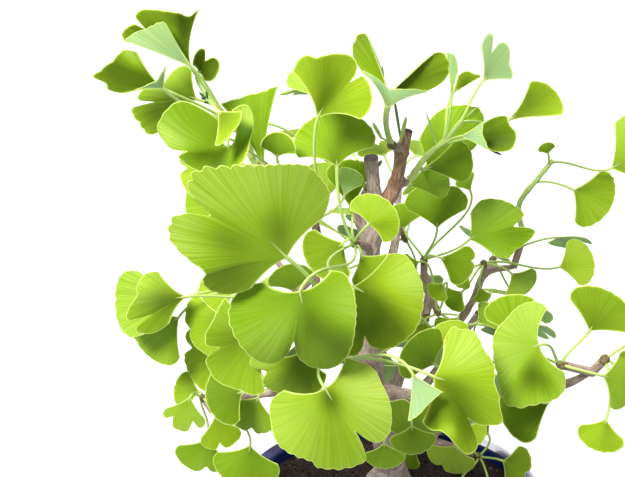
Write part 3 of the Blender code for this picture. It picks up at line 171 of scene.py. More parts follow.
# Bark: youth runs from 0, grey and furrowed, to 1, red-brown and smoother.
TRUNK_SIDES = 40
BRANCH_SIDES = 26
BRANCH_STEP = 1.3 * MM
THICK_BRANCH = 3 * MM
OLD_FURROW = 0.35 * MM
YOUNG_FURROW = 0.16 * MM
FURROW_WAVES = (6, 1.0, 2.4)
FURROW_STRETCH = 0.22
FURROW_MIDDLE = 0.7
NODE_WAVES = (4, 0.25, 0.7)
NODE_STRETCH = 0.7
NODE_RISE = 0.05
COLLAR_RISE = 0.35
COLLAR_REACH = 2.2
CUT_REACH = 0.8 * MM
SCAR_WIDTH = 0.035
FOOT_RINGS = 40
FOOT_SIDES = 72
FOOT_WAVES = (6, 3, 9)
FOOT_STRETCH = 0.04
SPUR_POINTS = 8
SPUR_SIDES = 12
FOOT_YOUTH = 0.05
SPUR_YOUTH = 0.35
USUAL_YOUTH = 0.25
YOUTH = {"top": 0.85, "stub": 0.1, "trunk": 0.1, "left": 0.45, "front": 0.5}
# How dark a sawn end is, and where leaf scars ring a branch: a share of its length and a rise.
CUTS = {"top": 1.0, "stub": 0.8}
SCARS = {"top": ((0.3, 0.12), (0.72, 0.2)), "stub": ((0.6, 0.06), (0.8, 0.05))}

# The fine pot, and the soil's surface and crumbs. Steps are for the outside and the inside, in mm.
POT_SIDES = 160
DRAIN_SIDES = 48
WALL_STEPS = (4, 5)
LIP_STEPS = (0.5, 0.4)
SOIL_SIDES = 128
SOIL_RINGS = 34
LAST_RING = 0.03
SOIL_TINT = 0.25
RELIEF_WAVES = (24, 300, 1400)
RELIEF_HEIGHT = 0.5 * MM
CRUMBS = 2600
CRUMB_SIZE = (0.5, 1.7)
CRUMB_SPREAD = (0.02, 0.93)
CRUMB_OVAL = 0.86
BALL_CORNERS = 12

# The values that each point of a piece has for its material, and where shading turns sharp.
# shade is painted shade above 0 and painted light below 0 on a leaf blade, and the own darkness of a bud
# or a sawn end.
VALUES = ("underside", "tint", "margin", "shade")
SMOOTH_ANGLE = math.radians(50)
POT_SMOOTH_ANGLE = math.radians(30)
NO_LENGTH = 1e-12
LOOK_SEED = 11

# The studio: each light's place, size in metres, power in watts and colour.
LIGHTS = {
    "key": ((-0.62, -0.72, 1.3), 0.45, 25.0, "#FFFDF4"),
    "back": ((0.5, 0.9, 1.1), 0.8, 12.0, "#FFFFFF"),
}
AIM = np.array((0, 0, 200)) * MM
SKY = ("#FFFFFF", 0.42)
GROUND = ("#F0F4E4", 0.3)
HORIZON = (-0.15, 0.25)
FLOOR_SIZE = 40
FLOOR_COLOUR = "#A8A8AA"
FLOOR_GLOW = 0.78


def mm(x, y, z):
    """A place given in millimetres."""
    return np.array((x, y, z)) * MM


def unit(vector):
    """The vector at length one."""
    return vector / np.linalg.norm(vector)


def seen(u, v, y):
    """The point y mm behind the trunk's plane on the line of sight through picture point (u, v)."""
    across = (u - PICTURE_MIDDLE[0]) / SIGHT
    up = (PICTURE_MIDDLE[1] - v) / SIGHT
    ray = FORWARD + RIGHTWARD * across + UPWARD * up
    return EYE + ray * ((y * MM - EYE[1]) / ray[1])


def place(point):
    """A point in space, from a picture place or as it is."""
    return point if isinstance(point, np.ndarray) else seen(*point)


def leaf(base, tip, half=60, roll=0, left=-10, right=-10, droop=12, at=1.0, bow=0.0, splits=(),
         rim=ROUND_RIM, waves=(), neck=0.72, stem=1.0):
    """A leaf: where its blade starts, and the place on its midline at a distance of one radius.

    half is half the fan's opening, and roll its turn about the midline from facing the viewer.
    left and right lift its sides and droop lowers its tip, in degrees over the blade's length.
    at is where on the spray's stem it grows, and bow how far its stalk sags, as a share of its
    length. Places across the fan run from -1 to 1, as seen: a split is (place, depth, width), a
    rim point (place, radius) and a wave (place, width, height), each as shares of the radius.
    neck is the share of its opening that the fan has at the base, and stem how stout its stalk
    is."""
    return dict(base=base, tip=tip, half=half, roll=roll, left=left, right=right, droop=droop, at=at,
                bow=bow, splits=splits, rim=rim, waves=waves, neck=neck, stem=stem)


# Wood: each branch's line, and its radii in mm.
WOOD = {
    "trunk": ([mm(0, 0, 40), mm(0, 0, 66), (386, 452, -3), (379, 405, -8), (371, 355, -12),
               (368, 300, -14), (372, 248, -14), (385, 203, -12)],
              (8.2, 8.4, 7.0, 6.5, 6.0, 5.3, 4.7, 4.2)),
    "stub": ([(385, 214, -12), (375, 194, -13), (371, 157, -14)], (3.4, 3.5, 3.4)),
    "top": ([(384, 204, -12), (393, 190, -10), (399, 170, -12), (402, 150, -13), (409, 130, -13)],
            (3.4, 3.6, 3.2, 3.4, 1.8)),
    "left": ([(373, 372, -11), (345, 338, -6), (322, 305, 2), (315, 275, 6), (316, 228, 8),
              (306, 195, -2), (286, 178, -14), (266, 171, -20)],
             (3.4, 3.2, 2.8, 2.6, 2.2, 2.0, 1.9, 1.7)),
    "back_right": ([(379, 420, -6), (400, 375, 18), (420, 330, 40), (430, 292, 45), (424, 274, 46)],
                   (4.4, 3.8, 3.2, 3.0, 2.2)),
    "front": ([(371, 362, -12), (360, 362, -45), (349, 361, -72)], (3.4, 2.8, 2.2)),
    "left_low": ([(377, 398, -8), (330, 395, -10), (280, 392, -22), (240, 398, -20), (212, 410, -10)],
                 (3.8, 3.2, 2.6, 2.2, 1.6)),
    "right_front": ([(375, 388, -9), (430, 400, -30), (500, 404, -52), (560, 386, -66), (592, 372, -72)],
                    (3.8, 3.2, 2.6, 2.2, 1.6)),
    "right_back": ([(402, 372, 19), (440, 345, 44), (472, 302, 56), (485, 274, 58), (514, 266, 60)],
                   (2.8, 2.6, 2.3, 2.1, 1.7)),
    "right_low": ([(383, 432, -4), (430, 442, 6), (463, 449, 6)], (4.0, 3.2, 2.2)),
    "back": ([mm(-15, -12, 158), mm(-9, 22, 176), mm(2, 58, 200), mm(6, 92, 216)], (3.8, 3.2, 2.5, 1.7)),
    "back_left": ([mm(-9, -8, 124), mm(-30, 20, 146), mm(-52, 48, 168), mm(-74, 72, 186)],
                  (3.8, 3.2, 2.5, 1.7)),
    "back_high": ([(372, 250, -14), (357, 214, 8), (342, 166, 34), (334, 120, 58)],
                  (3.2, 2.7, 2.2, 1.6)),
    "back_low": ([mm(-6, -6, 108), mm(22, 26, 120), mm(42, 50, 130), mm(54, 68, 136)],
                 (3.8, 3.0, 2.4, 1.7)),
}

# Sprays on spurs given one by one: branch, the stem's places from the spur's end, and the leaves.
SPRAYS = {
    "crown_left": ("left", [(257, 163, -22), (246, 142, -26), (222, 112, -30), (206, 98, -31)], [
        leaf((189, 64, -34), (157, 11, -38), half=39, left=-8, right=14, droop=6, at=0.74, neck=0.4,
             rim=((1, 0.93), (0.77, 0.8), (0.44, 0.89), (0.06, 1.0), (-0.31, 1.16), (-0.45, 1.12),
                  (-0.5, 0.9), (-0.56, 1.08), (-0.87, 1.17), (-1, 1.08)),
             waves=((0.4, 0.25, 0.12), (-0.2, 0.25, -0.08))),
        leaf((189, 65, -40), (145, 27, -46), half=20, roll=180, left=-20, right=-20, droop=-10, at=0.7,
             rim=((1, 0.8), (0.9, 0.86), (0, 0.95), (-0.9, 1.16), (-1, 1.15))),
        leaf((161, 88, -44), (104.4, 62.8, -48), half=33, left=-16, right=30, at=0.66, neck=0.5,
             rim=((1, 0.7), (0.7, 0.85), (0.16, 0.9), (-0.24, 1.03), (-0.45, 1.12), (-0.57, 0.93),
                  (-0.79, 0.87), (-1, 0.6))),
        leaf((163, 88, -52), (147.5, 71, -56), half=50, roll=180, left=10, right=10, at=0.62,
             rim=((-1, 1.13), (-0.8, 0.75), (0, 0.42), (0.8, 0.7), (1, 0.98))),
        leaf((196, 99, -20), (137.7, 77.8, -16), half=62, left=-14, right=-10, at=0.84,
             rim=((1, 0.45), (0.84, 0.57), (0.39, 0.6), (0.06, 0.62), (-0.08, 0.8), (-0.21, 0.96),
                  (-0.33, 0.96), (-0.38, 0.7), (-0.43, 1.09), (-0.66, 1.06), (-0.92, 0.97), (-1, 0.7))),
        leaf((199, 72, -26), (216, 60, -24), half=98, left=16, right=16, at=1.0,
             rim=((-1, 0.42), (-0.8, 0.66), (-0.55, 1.08), (-0.42, 1.12), (-0.26, 0.62), (-0.1, 1.0),
                  (0.1, 1.08), (0.4, 0.92), (0.75, 0.72), (1, 0.4))),
        leaf((219, 112, -64), (237, 131, -74), half=42, left=6, right=6, droop=-8, at=0.7,
             rim=((-1, 0.8), (-0.8, 0.84), (-0.3, 0.93), (0.2, 1.0), (0.6, 1.15), (0.85, 1.25),
                  (1, 1.2))),
    ]),
    "cup": ("left", [(276, 170, -24)], [
        leaf((228.5, 146, -64), (234.5, 214.7, -68), half=170, left=0, right=0, droop=0, bow=-0.12,
             stem=1.3, waves=((-0.26, 0.36, 0.3), (0.75, 0.26, 0.06)),
             rim=((1, 0.3), (0.9, 0.58), (0.82, 0.9), (0.76, 0.97), (0.7, 1.0), (0.636, 1.0),
                  (0.59, 0.9), (0.54, 0.77), (0.518, 0.58), (0.494, 0.7), (0.44, 0.66), (0.35, 0.57),
                  (0.218, 0.45), (0.09, 0.36), (-0.23, 0.24), (-0.6, 0.3), (-0.74, 0.45), (-0.83, 0.57),
                  (-0.9, 0.62), (-1, 0.5))),
        leaf((263, 165, -8), (248.7, 97.5, -2), half=23, left=-14, right=-18, neck=0.4,
             rim=((-1, 1.04), (-0.5, 1.0), (0, 1.0), (0.5, 1.03), (1, 1.14))),
        leaf((222, 166, -22), (180, 176, -20), half=48, splits=((0.2, 0.2, 0.1),)),
        leaf((228, 205, -14), (184, 204, -12), half=40),
        leaf((277, 156, -34), (280, 134, -38), half=60, left=60, right=60),
    ]),
    "top_mid": ("left", [(311, 214, -10)], [
        leaf((318, 116, -44), (350.5, 59.7, -40), half=62, left=-30, right=52, droop=-12, bow=0.08,
             neck=0.5, stem=1.3,
             rim=((-1, 0.8), (-0.74, 0.95), (-0.5, 0.9), (-0.32, 0.97), (0, 1.07), (0.16, 0.95),
                  (0.22, 0.73), (0.27, 0.93), (0.41, 0.98), (0.665, 0.95), (0.85, 0.86), (1, 0.7))),
        leaf((320, 204, 2), (329, 163, 6), half=38, roll=20),
        leaf((345, 194, -14), (352, 168, -10), half=50, roll=150, left=40, right=20),
    ]),
    "top": ("top", [(394, 146, -19)], [
        leaf((388, 106, -30), (399.9, 67.8, -32), half=55, roll=180, left=16, right=16, droop=0,
             stem=2.1, neck=0.5,
             rim=((-1, 1.05), (-0.76, 0.775), (-0.48, 0.54), (-0.2, 0.42), (0.41, 0.55), (0.64, 0.69),
                  (1, 1.0))),
        leaf((388, 98, -24), (411, 27, -22), half=62, left=-6, right=-12, droop=-10,
             waves=((-0.6, 0.3, 0.14), (0.6, 0.3, 0.14)),
             rim=((-1, 0.45), (-0.9, 0.74), (-0.74, 0.92), (-0.6, 1.0), (-0.53, 0.95), (-0.47, 0.5),
                  (-0.3, 0.16), (0.2, 0.16), (0.36, 0.45), (0.41, 0.92), (0.57, 1.01), (0.68, 0.96),
                  (0.86, 0.81), (1, 0.54))),
    ]),
    "mid": ("trunk", [(357, 244, -28)], [
        leaf((337, 166, -32), (330.4, 112.4, -26), half=72, left=-30, right=-24, bow=-0.05, neck=0.5),
        leaf((369, 224, -44), (389.5, 203.5, -46), half=100, left=-6, right=-24),
        leaf((352, 208, -6), (347, 160, -2), half=34, left=-16, right=-10),
        leaf((300, 291, -124), (314.6, 374.5, -132), half=112, left=-12, right=-12, droop=40, bow=-0.2,
             waves=((0.12, 0.1, -0.09), (0.45, 0.3, 0.05), (-0.3, 0.3, 0.05)),
             rim=((1, 0.42), (0.88, 0.68), (0.72, 0.85), (0.51, 0.93), (0.31, 0.99), (0.22, 0.94),
                  (0.165, 0.81), (0.138, 0.64), (0.11, 0.78), (0.08, 0.92), (0.01, 1.06), (-0.09, 1.15),
                  (-0.18, 1.06), (-0.375, 0.8), (-0.575, 0.66), (-0.755, 0.58), (-0.89, 0.53),
                  (-1, 0.4))),
        leaf((354, 287, -96), (425, 323.2, -102), half=71, left=-20, right=-30, droop=30, bow=0.05,
             stem=1.2,
             rim=((-1, 0.6), (-0.84, 0.76), (-0.62, 0.82), (-0.31, 0.9), (-0.1, 0.95), (0.09, 1.0),
                  (0.27, 1.0), (0.42, 0.98), (0.53, 0.93), (0.645, 0.8), (0.69, 0.67), (0.73, 0.8),
                  (0.8, 0.92), (0.9, 0.93), (1, 0.84))),
        leaf((343, 243, -46), (311, 270, -52), half=66, left=30, right=10),
        leaf((361, 256, -36), (381, 284, -42), half=60, left=-10, right=40),
    ]),
    "front": ("front", [(343, 359, -84)], [
        leaf((286, 257, -124), (200, 170, -132), half=90, left=-48, right=-14, droop=8, bow=0.05,
             stem=1.8,
             rim=((-1, 0.36), (-0.9, 0.54), (-0.78, 0.66), (-0.69, 0.69), (-0.6, 0.66), (-0.5, 0.79),
                  (-0.4, 0.92), (-0.32, 0.95), (-0.25, 0.92), (-0.165, 0.7), (-0.13, 0.88), (-0.07, 1.0),
                  (0.01, 0.99), (0.1, 0.9), (0.217, 0.82), (0.31, 0.77), (0.46, 0.74), (0.61, 0.73),
                  (0.76, 0.66), (0.9, 0.58), (1, 0.4)),
             waves=((-0.45, 0.3, 0.06),)),
        leaf((325, 388, -118), (367.5, 461.6, -128), half=115, left=-12, right=-18, droop=20, bow=0.1,
             stem=1.2, waves=((0.5, 0.25, 0.05), (-0.25, 0.2, 0.05)),
             rim=((1, 0.45), (0.91, 0.62), (0.765, 0.72), (0.6, 0.84), (0.46, 0.85), (0.35, 0.87),
                  (0.296, 0.95), (0.22, 0.99), (0.13, 1.04), (0.0, 1.04), (-0.026, 0.85), (-0.043, 0.62),
                  (-0.07, 0.78), (-0.1, 0.9), (-0.185, 0.95), (-0.29, 0.87), (-0.45, 0.73),
                  (-0.557, 0.65), (-0.687, 0.6), (-0.864, 0.47), (-1, 0.4))),
        leaf((302, 353, -108), (286.6, 409.5, -114), half=65, left=-14, right=-22, droop=32,
             rim=((0.96, 0.9), (0.8, 0.98), (0.615, 0.76), (0.5, 0.96), (0.39, 1.03), (0.22, 0.99),
                  (0, 0.86), (-0.33, 0.79), (-0.54, 0.73), (-1, 0.52))),
        leaf((434, 377, -116), (507.4, 397.7, -124), half=90, left=-20, right=-24, droop=20, bow=-0.06,
             stem=1.4, waves=((0.7, 0.16, 0.1), (0.3, 0.2, -0.06)),
             rim=((-1, 0.5), (-0.95, 0.72), (-0.85, 0.75), (-0.7, 0.84), (-0.49, 0.79), (-0.3, 0.84),
                  (-0.1, 0.83), (-0.02, 0.9), (0.11, 1.0), (0.19, 1.13), (0.28, 1.01), (0.35, 0.86),
                  (0.39, 0.72), (0.42, 0.9), (0.45, 1.09), (0.5, 1.17), (0.57, 1.15), (0.61, 1.06),
                  (0.68, 0.83), (0.76, 0.73), (0.87, 0.72), (1, 0.62))),
        leaf((413, 375, -124), (432, 412, -132), half=34, roll=180, left=14, right=14, droop=4,
             rim=((-1, 0.86), (-0.9, 0.8), (0, 0.8), (0.9, 1.1), (1, 1.12))),
        leaf((262, 332, -86), (200, 361, -92), half=68, left=-24, right=-14, droop=24,
             rim=((1, 0.74), (0.57, 0.76), (0.28, 0.89), (0.16, 0.89), (0.07, 0.7), (0, 0.97),
                  (-0.07, 1.02), (-0.29, 1.05), (-0.45, 1.0), (-0.64, 0.95), (-0.83, 0.97), (-1, 0.9))),
        leaf((293, 290, -88), (289, 266, -92), half=60, left=20, right=20),
    ]),
    "top_right": ("top", [(407, 180, -8), (425, 158, -4), (446, 139, 0), (462, 120, 5)], [
        leaf((484, 80, 14), (512, 49, 18), half=48, roll=180, left=8, right=8, at=1.0,
             rim=((-1, 0.8), (-0.8, 1.12), (-0.64, 1.08), (-0.56, 0.7), (-0.42, 0.96), (-0.17, 1.02),
                  (0.33, 0.74), (0.8, 0.72), (1, 0.66))),
        leaf((451.7, 93, 2), (454.8, 54, 4), half=11, roll=180, left=10, right=10, at=0.72,
             rim=((-1, 1.1), (0, 1.0), (1, 0.6))),
        leaf((454, 92, 12), (471, 70, 14), half=24, left=-10, right=-20, at=0.7,
             rim=((-1, 0.6), (-0.35, 0.87), (0.47, 1.0), (0.86, 1.16), (1, 1.1))),
        leaf((470, 138, 2), (514.4, 131, -2), half=40, left=20, right=30, at=0.62,
             rim=((-1, 0.44), (-0.62, 0.91), (-0.22, 0.93), (0.02, 1.02), (0.45, 1.01), (0.74, 0.88),
                  (1, 0.57))),
        leaf((463, 136, -8), (485, 134.8, -12), half=32, roll=180, left=14, right=14, at=0.58,
             rim=((-1, 1.11), (0, 0.95), (1, 1.36))),
        leaf((428, 168, 16), (459.4, 107.7, 20), half=45, left=-12, right=-24, droop=20, at=0.3,
             rim=((-1, 0.43), (-0.71, 0.59), (-0.41, 0.83), (-0.19, 0.95), (0.14, 1.1), (0.39, 1.14),
                  (0.88, 0.75), (1, 0.42))),
        leaf((509, 120, 20), (555.8, 93, 22), half=32, left=6, right=70, at=1.0, neck=0.2,
             rim=((-1, 0.83), (-0.6, 0.96), (0, 1.05), (0.5, 1.05), (1, 1.0))),
        leaf((426, 168, 8), (474, 160, 8), half=34, roll=14, at=0.28),
        leaf((409, 185, 12), (452, 174, 16), half=36, left=-12, right=-8, at=0.14),
    ]),
    "mid_back": ("back_right", [(424, 263, 43)], [
        leaf((437, 227, 30), (437, 183, 34), half=60, left=-12, right=-36, splits=((0.2, 0.08, 0.1),)),
        leaf((470, 239, 30), (523.5, 211.8, 28), half=62, left=-12, right=-20, bow=0.1,
             rim=((-1, 0.43), (-0.76, 0.68), (-0.53, 0.79), (-0.19, 0.92), (0.05, 0.98), (0.18, 0.76),
                  (0.26, 1.0), (0.34, 1.09), (0.45, 1.0), (0.67, 0.79), (0.88, 0.72), (1, 0.5))),
        leaf((441, 258, 22), (474, 270, 18), half=48, left=-10, right=-22, splits=((-0.3, 0.12, 0.07),)),
        leaf((404, 228, 52), (400, 204, 54), half=66, left=-20, right=-30),
        leaf((470, 190, 54), (462, 172, 56), half=52, roll=40),
    ]),
    "left_mid": ("left", [(298, 292, -2)], [
        leaf((185, 297, -28), (127.4, 304, -34), half=52, left=-40, right=-20, roll=8, neck=0.5,
             rim=((1, 0.66), (0.73, 0.83), (0.37, 0.88), (0.18, 0.85), (-0.09, 1.02), (-0.27, 1.08),
                  (-0.39, 0.66), (-0.48, 1.03), (-0.65, 0.98), (-0.85, 0.77), (-1, 0.52))),
        leaf((184, 298, -12), (112, 306, -12), half=36, left=10, right=10, bow=0.1),
        leaf((178, 318, -6), (136, 346, -6), half=56, left=-12, right=-10, bow=0.15),
        leaf((232, 296, 14), (196, 300, 16), half=62, left=-14, right=-10),
    ]),
    "left_lower": ("left_low", [(268, 384, -30)], [
        leaf((226, 318, -28), (187, 336, -26), half=60, left=-18, right=-14, splits=((0.1, 0.1, 0.1),)),
        leaf((224, 352, -4), (181, 368, 0), half=58, left=-14, right=-18, splits=((0.4, 0.22, 0.12),)),
        leaf((242, 392, -44), (206, 402, -50), half=72, left=-12, right=-12),
        leaf((258, 398, -32), (242, 432, -38), half=62, left=-16, right=-12,
             splits=((-0.2, 0.14, 0.1),)),
    ]),
    "left_tip": ("left_low", [(206, 402, -8)], [
        leaf((199, 392, 2), (172, 390, 6), half=58, left=-14, right=-14),
        leaf((190, 398, -18), (180, 432, -26), half=50, left=-14, right=-20, splits=((-0.45, 0.3, 0.14),
                                                                                     (0.5, 0.26, 0.14))),
        leaf((216, 416, -20), (224, 450, -28), half=48, left=-12, right=-12, splits=((0.1, 0.2, 0.1),)),
        leaf((207, 440, 8), (197, 474, 4), half=60, left=-16, right=-14, splits=((-0.2, 0.2, 0.12),)),
        leaf((250, 446, -26), (242, 488, -34), half=66, left=-12, right=-12),
    ]),
    "right": ("right_front", [(566, 366, -76)], [
        leaf((539, 345, -88), (481, 360.5, -94), half=120, left=-12, right=-16, droop=10, stem=1.2,
             waves=((-0.3, 0.2, -0.12), (0.3, 0.4, 0.06)),
             rim=((1, 0.62), (0.875, 0.72), (0.69, 0.72), (0.45, 0.68), (0.22, 0.76), (0.05, 0.77),
                  (-0.16, 0.84), (-0.28, 0.97), (-0.36, 1.1), (-0.44, 1.1), (-0.5, 1.06), (-0.59, 0.98),
                  (-0.725, 0.94), (-0.875, 0.85), (-1, 0.6))),
        leaf((516, 336, -58), (508, 296, -54), half=50, left=-14, right=-14),
        leaf((548, 402, -84), (504, 424, -90), half=44, left=-12, right=-12),
        leaf((590, 330, -74), (612, 294, -78), half=60),
        leaf((604, 376, -66), (640, 384, -64), half=62),
    ]),
    "right_mid": ("right_front", [(470, 394, -50)], [
        leaf((434, 364, -56), (410, 342, -58), half=74, left=-18, right=-18, splits=((0.9, 0.2, 0.1),)),
        leaf((455, 352, -30), (444, 322, -24), half=54),
        leaf((466, 428, -60), (486, 436, -62), half=50),
    ]),
    "low_mid": ("trunk", [(398, 414, -22)], [
        leaf((407, 442, -40), (411, 403, -48), half=50, left=24, right=30, splits=((0.1, 0.16, 0.12),)),
        leaf((412, 426, -52), (414, 456, -58), half=66),
        leaf((384, 444, -34), (386, 470, -38), half=64),
    ]),
    "right_low": ("right_low", [(474, 454, 4)], [
        leaf((454, 446, -6), (446, 474, -10), half=72, splits=((0.2, 0.16, 0.1),)),
        leaf((503, 461, -8), (530, 472, -14), half=66, splits=((0.1, 0.14, 0.1),)),
        leaf((488, 434, 4), (476, 420, 6), half=50),
        leaf((462, 478, 0), (452, 504, -4), half=60),
        leaf((494, 490, 2), (512, 512, -2), half=60),
    ]),
    "far_right": ("right_front", [(602, 362, -76)], [
        leaf((634, 340, -80), (662, 322, -84), half=60),
        leaf((640, 392, -84), (668, 412, -92), half=56),
        leaf((606, 420, -90), (596, 452, -98), half=60),
    ]),
    "low_back": ("right_low", [(440, 428, 12)], [
        leaf((420, 424, 14), (399, 410, 10), half=58),
        leaf((452, 398, 18), (470, 382, 16), half=60),
        leaf((414, 446, 10), (398, 464, 8), half=58),
    ]),
    "far_right_shoot": ("right_back", [(522, 240, 66), (519, 205, 62), (540, 176, 60), (553, 160, 60)], [
        leaf((548, 153, 58), (545, 143, 58), half=66, at=0.9),
        leaf((612, 168, 52), (668, 140, 50), half=60, at=1.0),
        leaf((574, 190, 56), (612, 208, 52), half=62, at=0.7),
    ]),
    "back_cluster": ("right_back", [(484, 266, 54)], [
        leaf((462, 292, 46), (446, 306, 44), half=60),
        leaf((480, 288, 40), (484, 303, 38), half=44),
        leaf((512, 274, 50), (530, 292, 48), half=60),
        leaf((468, 272, 50), (456, 286, 46), half=50),
        leaf((560, 267, 60), (594, 258, 58), half=60),
    ]),
    "back_mid": ("back_right", [(436, 308, 36)], [
        leaf((444, 284, 30), (432, 298, 26), half=56),
        leaf((458, 318, 30), (444, 340, 26), half=60),
        leaf((424, 322, 28), (420, 348, 22), half=62),
        leaf((478, 322, 34), (496, 310, 32), half=56),
        leaf((418, 262, 44), (402, 268, 42), half=60),
    ]),
}

# Painted light and shade on the leaves that stand out, by spray and order: a tone, painted shade above 0
# and painted light below, then rows of soft painted shadow and highlight as (s, t, spread, amount).
PAINTED_LIGHT_AND_SHADE = {
    ("crown_left", 0): (0.35, (0.45, 0.7, 0.2, 0.4), (-0.5, 0.75, 0.2, 0.5), (0.05, 0.6, 0.1, -0.6)),
    ("crown_left", 2): (0.45, (-0.1, 0.6, 0.4, 0.7), (0.8, 0.75, 0.2, -1.3)),
    ("crown_left", 4): (0.0, (0.5, 0.55, 0.3, -0.4), (-0.6, 0.7, 0.3, 0.9), (0.0, 0.4, 0.2, 0.4)),
    ("crown_left", 5): (1.0,),
    ("crown_left", 6): (0.2, (-0.3, 0.3, 0.4, 0.3)),
    ("cup", 0): (0.0, (0.5, 0.4, 0.16, 0.7), (0.2, 0.25, 0.14, 0.7), (-0.6, 0.3, 0.2, 0.3),
                 (0.62, 0.9, 0.25, -1.0), (-0.85, 0.5, 0.2, -1.0)),
    ("cup", 1): (0.2, (0.0, 0.3, 0.4, 0.3)),
    ("top_mid", 0): (0.35, (0.0, 0.4, 0.2, 0.4), (-0.4, 0.8, 0.2, 0.2), (0.3, 0.7, 0.3, -0.3)),
    ("top", 1): (0.0, (0.5, 0.55, 0.25, 0.6), (-0.6, 0.5, 0.2, 0.4), (-0.6, 0.9, 0.3, -0.3)),
    ("mid", 0): (0.0, (0.4, 0.5, 0.3, 0.4)),
    ("top_mid", 2): (-0.6,),
    ("mid", 5): (0.4,),
    ("mid", 2): (0.2,),
    ("mid", 1): (-0.2, (0.5, 0.5, 0.3, 0.5)),
    ("mid", 3): (0.0, (-0.22, 0.85, 0.25, 0.8), (-0.04, 0.45, 0.16, 0.6), (-0.55, 0.6, 0.25, -0.4),
                 (0.4, 0.6, 0.3, -0.4), (0.12, 0.8, 0.16, 0.7)),
    ("mid", 4): (0.0, (0.0, 0.3, 0.3, 0.8), (0.25, 0.85, 0.2, 0.5), (-0.5, 0.75, 0.35, -0.8),
                 (0.78, 0.55, 0.25, 0.7)),
    ("front", 0): (-0.35, (-0.75, 0.5, 0.22, 0.9), (-0.3, 0.5, 0.16, 0.8), (0.3, 0.25, 0.14, 0.8),
                   (0.3, 0.7, 0.4, -0.3), (-0.36, 0.85, 0.2, -0.3)),
    ("front", 1): (-0.3, (0.0, 0.12, 0.14, 1.0), (-0.5, 0.5, 0.35, -0.4), (0.15, 0.6, 0.25, 0.4)),
    ("front", 2): (0.3, (0.1, 0.5, 0.3, 0.3), (0.8, 0.7, 0.25, -0.6)),
    ("front", 3): (0.0, (0.35, 0.5, 0.28, 0.6), (0.5, 0.85, 0.22, 0.6), (-0.6, 0.6, 0.35, -0.7),
                   (0.68, 0.75, 0.08, -0.8), (0.86, 0.6, 0.14, 0.7), (-0.05, 0.25, 0.2, 0.3)),
    ("front", 5): (0.1, (0.0, 0.5, 0.4, 0.4)),
    ("right", 0): (-0.5, (-0.5, 0.55, 0.22, 1.3), (-0.75, 0.6, 0.2, 0.9)),
    ("right", 2): (0.5,),
    ("left_mid", 0): (0.1, (0.0, 0.4, 0.3, 0.7), (0.5, 0.9, 0.25, -0.4)),
    ("mid_back", 0): (-0.1, (0.4, 0.5, 0.3, 0.5), (-0.3, 0.6, 0.3, -0.4)),
    ("mid_back", 1): (-0.4, (0.4, 0.8, 0.28, 0.9)),
    ("top_right", 2): (0.5,),
    ("top_right", 3): (0.4, (0.3, 0.6, 0.3, 0.4)),
    ("top_right", 6): (0.3, (-0.4, 0.6, 0.3, 0.4)),
}
# Leaves whose margins are scalloped deeper than the rest, by spray and order.
SCALLOPED = {("front", 0): 1.6, ("front", 1): 1.4, ("front", 3): 1.4, ("front", 5): 1.4,
             ("right", 0): 1.4}
# Leaves with stouter stalks than the rest.
STOUT = {("top", 0): 2.1, ("front", 0): 1.3, ("mid", 0): 1.2}
# Buds and bud scales: where each starts and ends, its radius in mm, and its darkness.
BUDS = {
    "crown_left": (
        ((207, 100, -31), (199, 92, -32), 0.8, 0.9),
        ((206, 99, -31), (201, 98, -34), 0.7, 1.0),
        ((208, 101, -31), (206, 91, -33), 0.7, 0.9),
        ((209, 103, -31), (204, 102, -34), 0.6, 1.0),
    ),
    "top": (
        ((400, 143, -17), (406.5, 116, -19), 1.3, 0.1),
        ((382, 139, -20), (372.5, 122, -20), 1.2, 0.0),
        ((393, 144, -20), (380, 137, -20), 0.6, 0.2),
        ((384, 88, -20), (382, 65, -20), 0.8, 0.1),
        ((401, 141, -17), (394, 97, -17), 0.9, 0.8),
        ((376, 169, -11), (382, 160, -9), 1.1, 0.8),
    ),
    "top_right": (
        ((437, 147, -1), (426, 112, -3), 0.8, 0.1),
        ((467, 117, 4), (476, 108, 5), 0.8, 0.3),
        ((490, 150, 2), (502, 155, 0), 0.7, 0.9),
    ),
}

# Sprays by rule: branch, how far along it each spur stands, and the number of leaves on each.
# A spur's turn round its branch goes on by TURN_STEP, and it ends SPUR_REACH off the middle.
RULED = (
    ("back", (0.3, 0.52, 0.76, 1.0), 4),
    ("back_left", (0.34, 0.56, 0.78, 1.0), 4),
    ("back_high", (0.4, 0.7, 1.0), 4),
    ("back_low", (0.68, 1.0), 4),
    ("right_back", (0.3, 0.8), 4),
    ("back_right", (0.6,), 4),
)
FIRST_TURN = 0.8
TURN_STEP = 2.2
SPUR_REACH = 9 * MM
SPUR_LEAN = 1 / 3
RULE_SEED = 7
RULE_TRIES = 60
# What the rule draws for each leaf, between two values. Lengths are in mm and angles in degrees.
# turn is off the golden angle, spread and sink steer the leaf away from the spur and downwards.
DRAWN = {"turn": (-28, 28), "spread": (0.5, 1.3), "stalk": (20, 44), "sink": (-0.7, 0.1),
         "size": (19, 32), "half": (54, 78), "roll": (-25, 25), "left": (-22, 6), "right": (-22, 6),
         "droop": (4, 26), "bow": (-0.1, 0.1), "split_at": (-0.3, 0.3), "split_depth": (0.1, 0.45),
         "wave_at": (-0.6, 0.6), "wave_height": (-0.06, 0.08)}
SPLIT_WIDTH = 0.08
WAVE_WIDTH = 0.3
OUTWARD_SHARE = 0.3
UPWARD_SHARE = 0.25
FACING_SHARE = 0.5
CROWN_MIDDLE = mm(0, 0, 215)


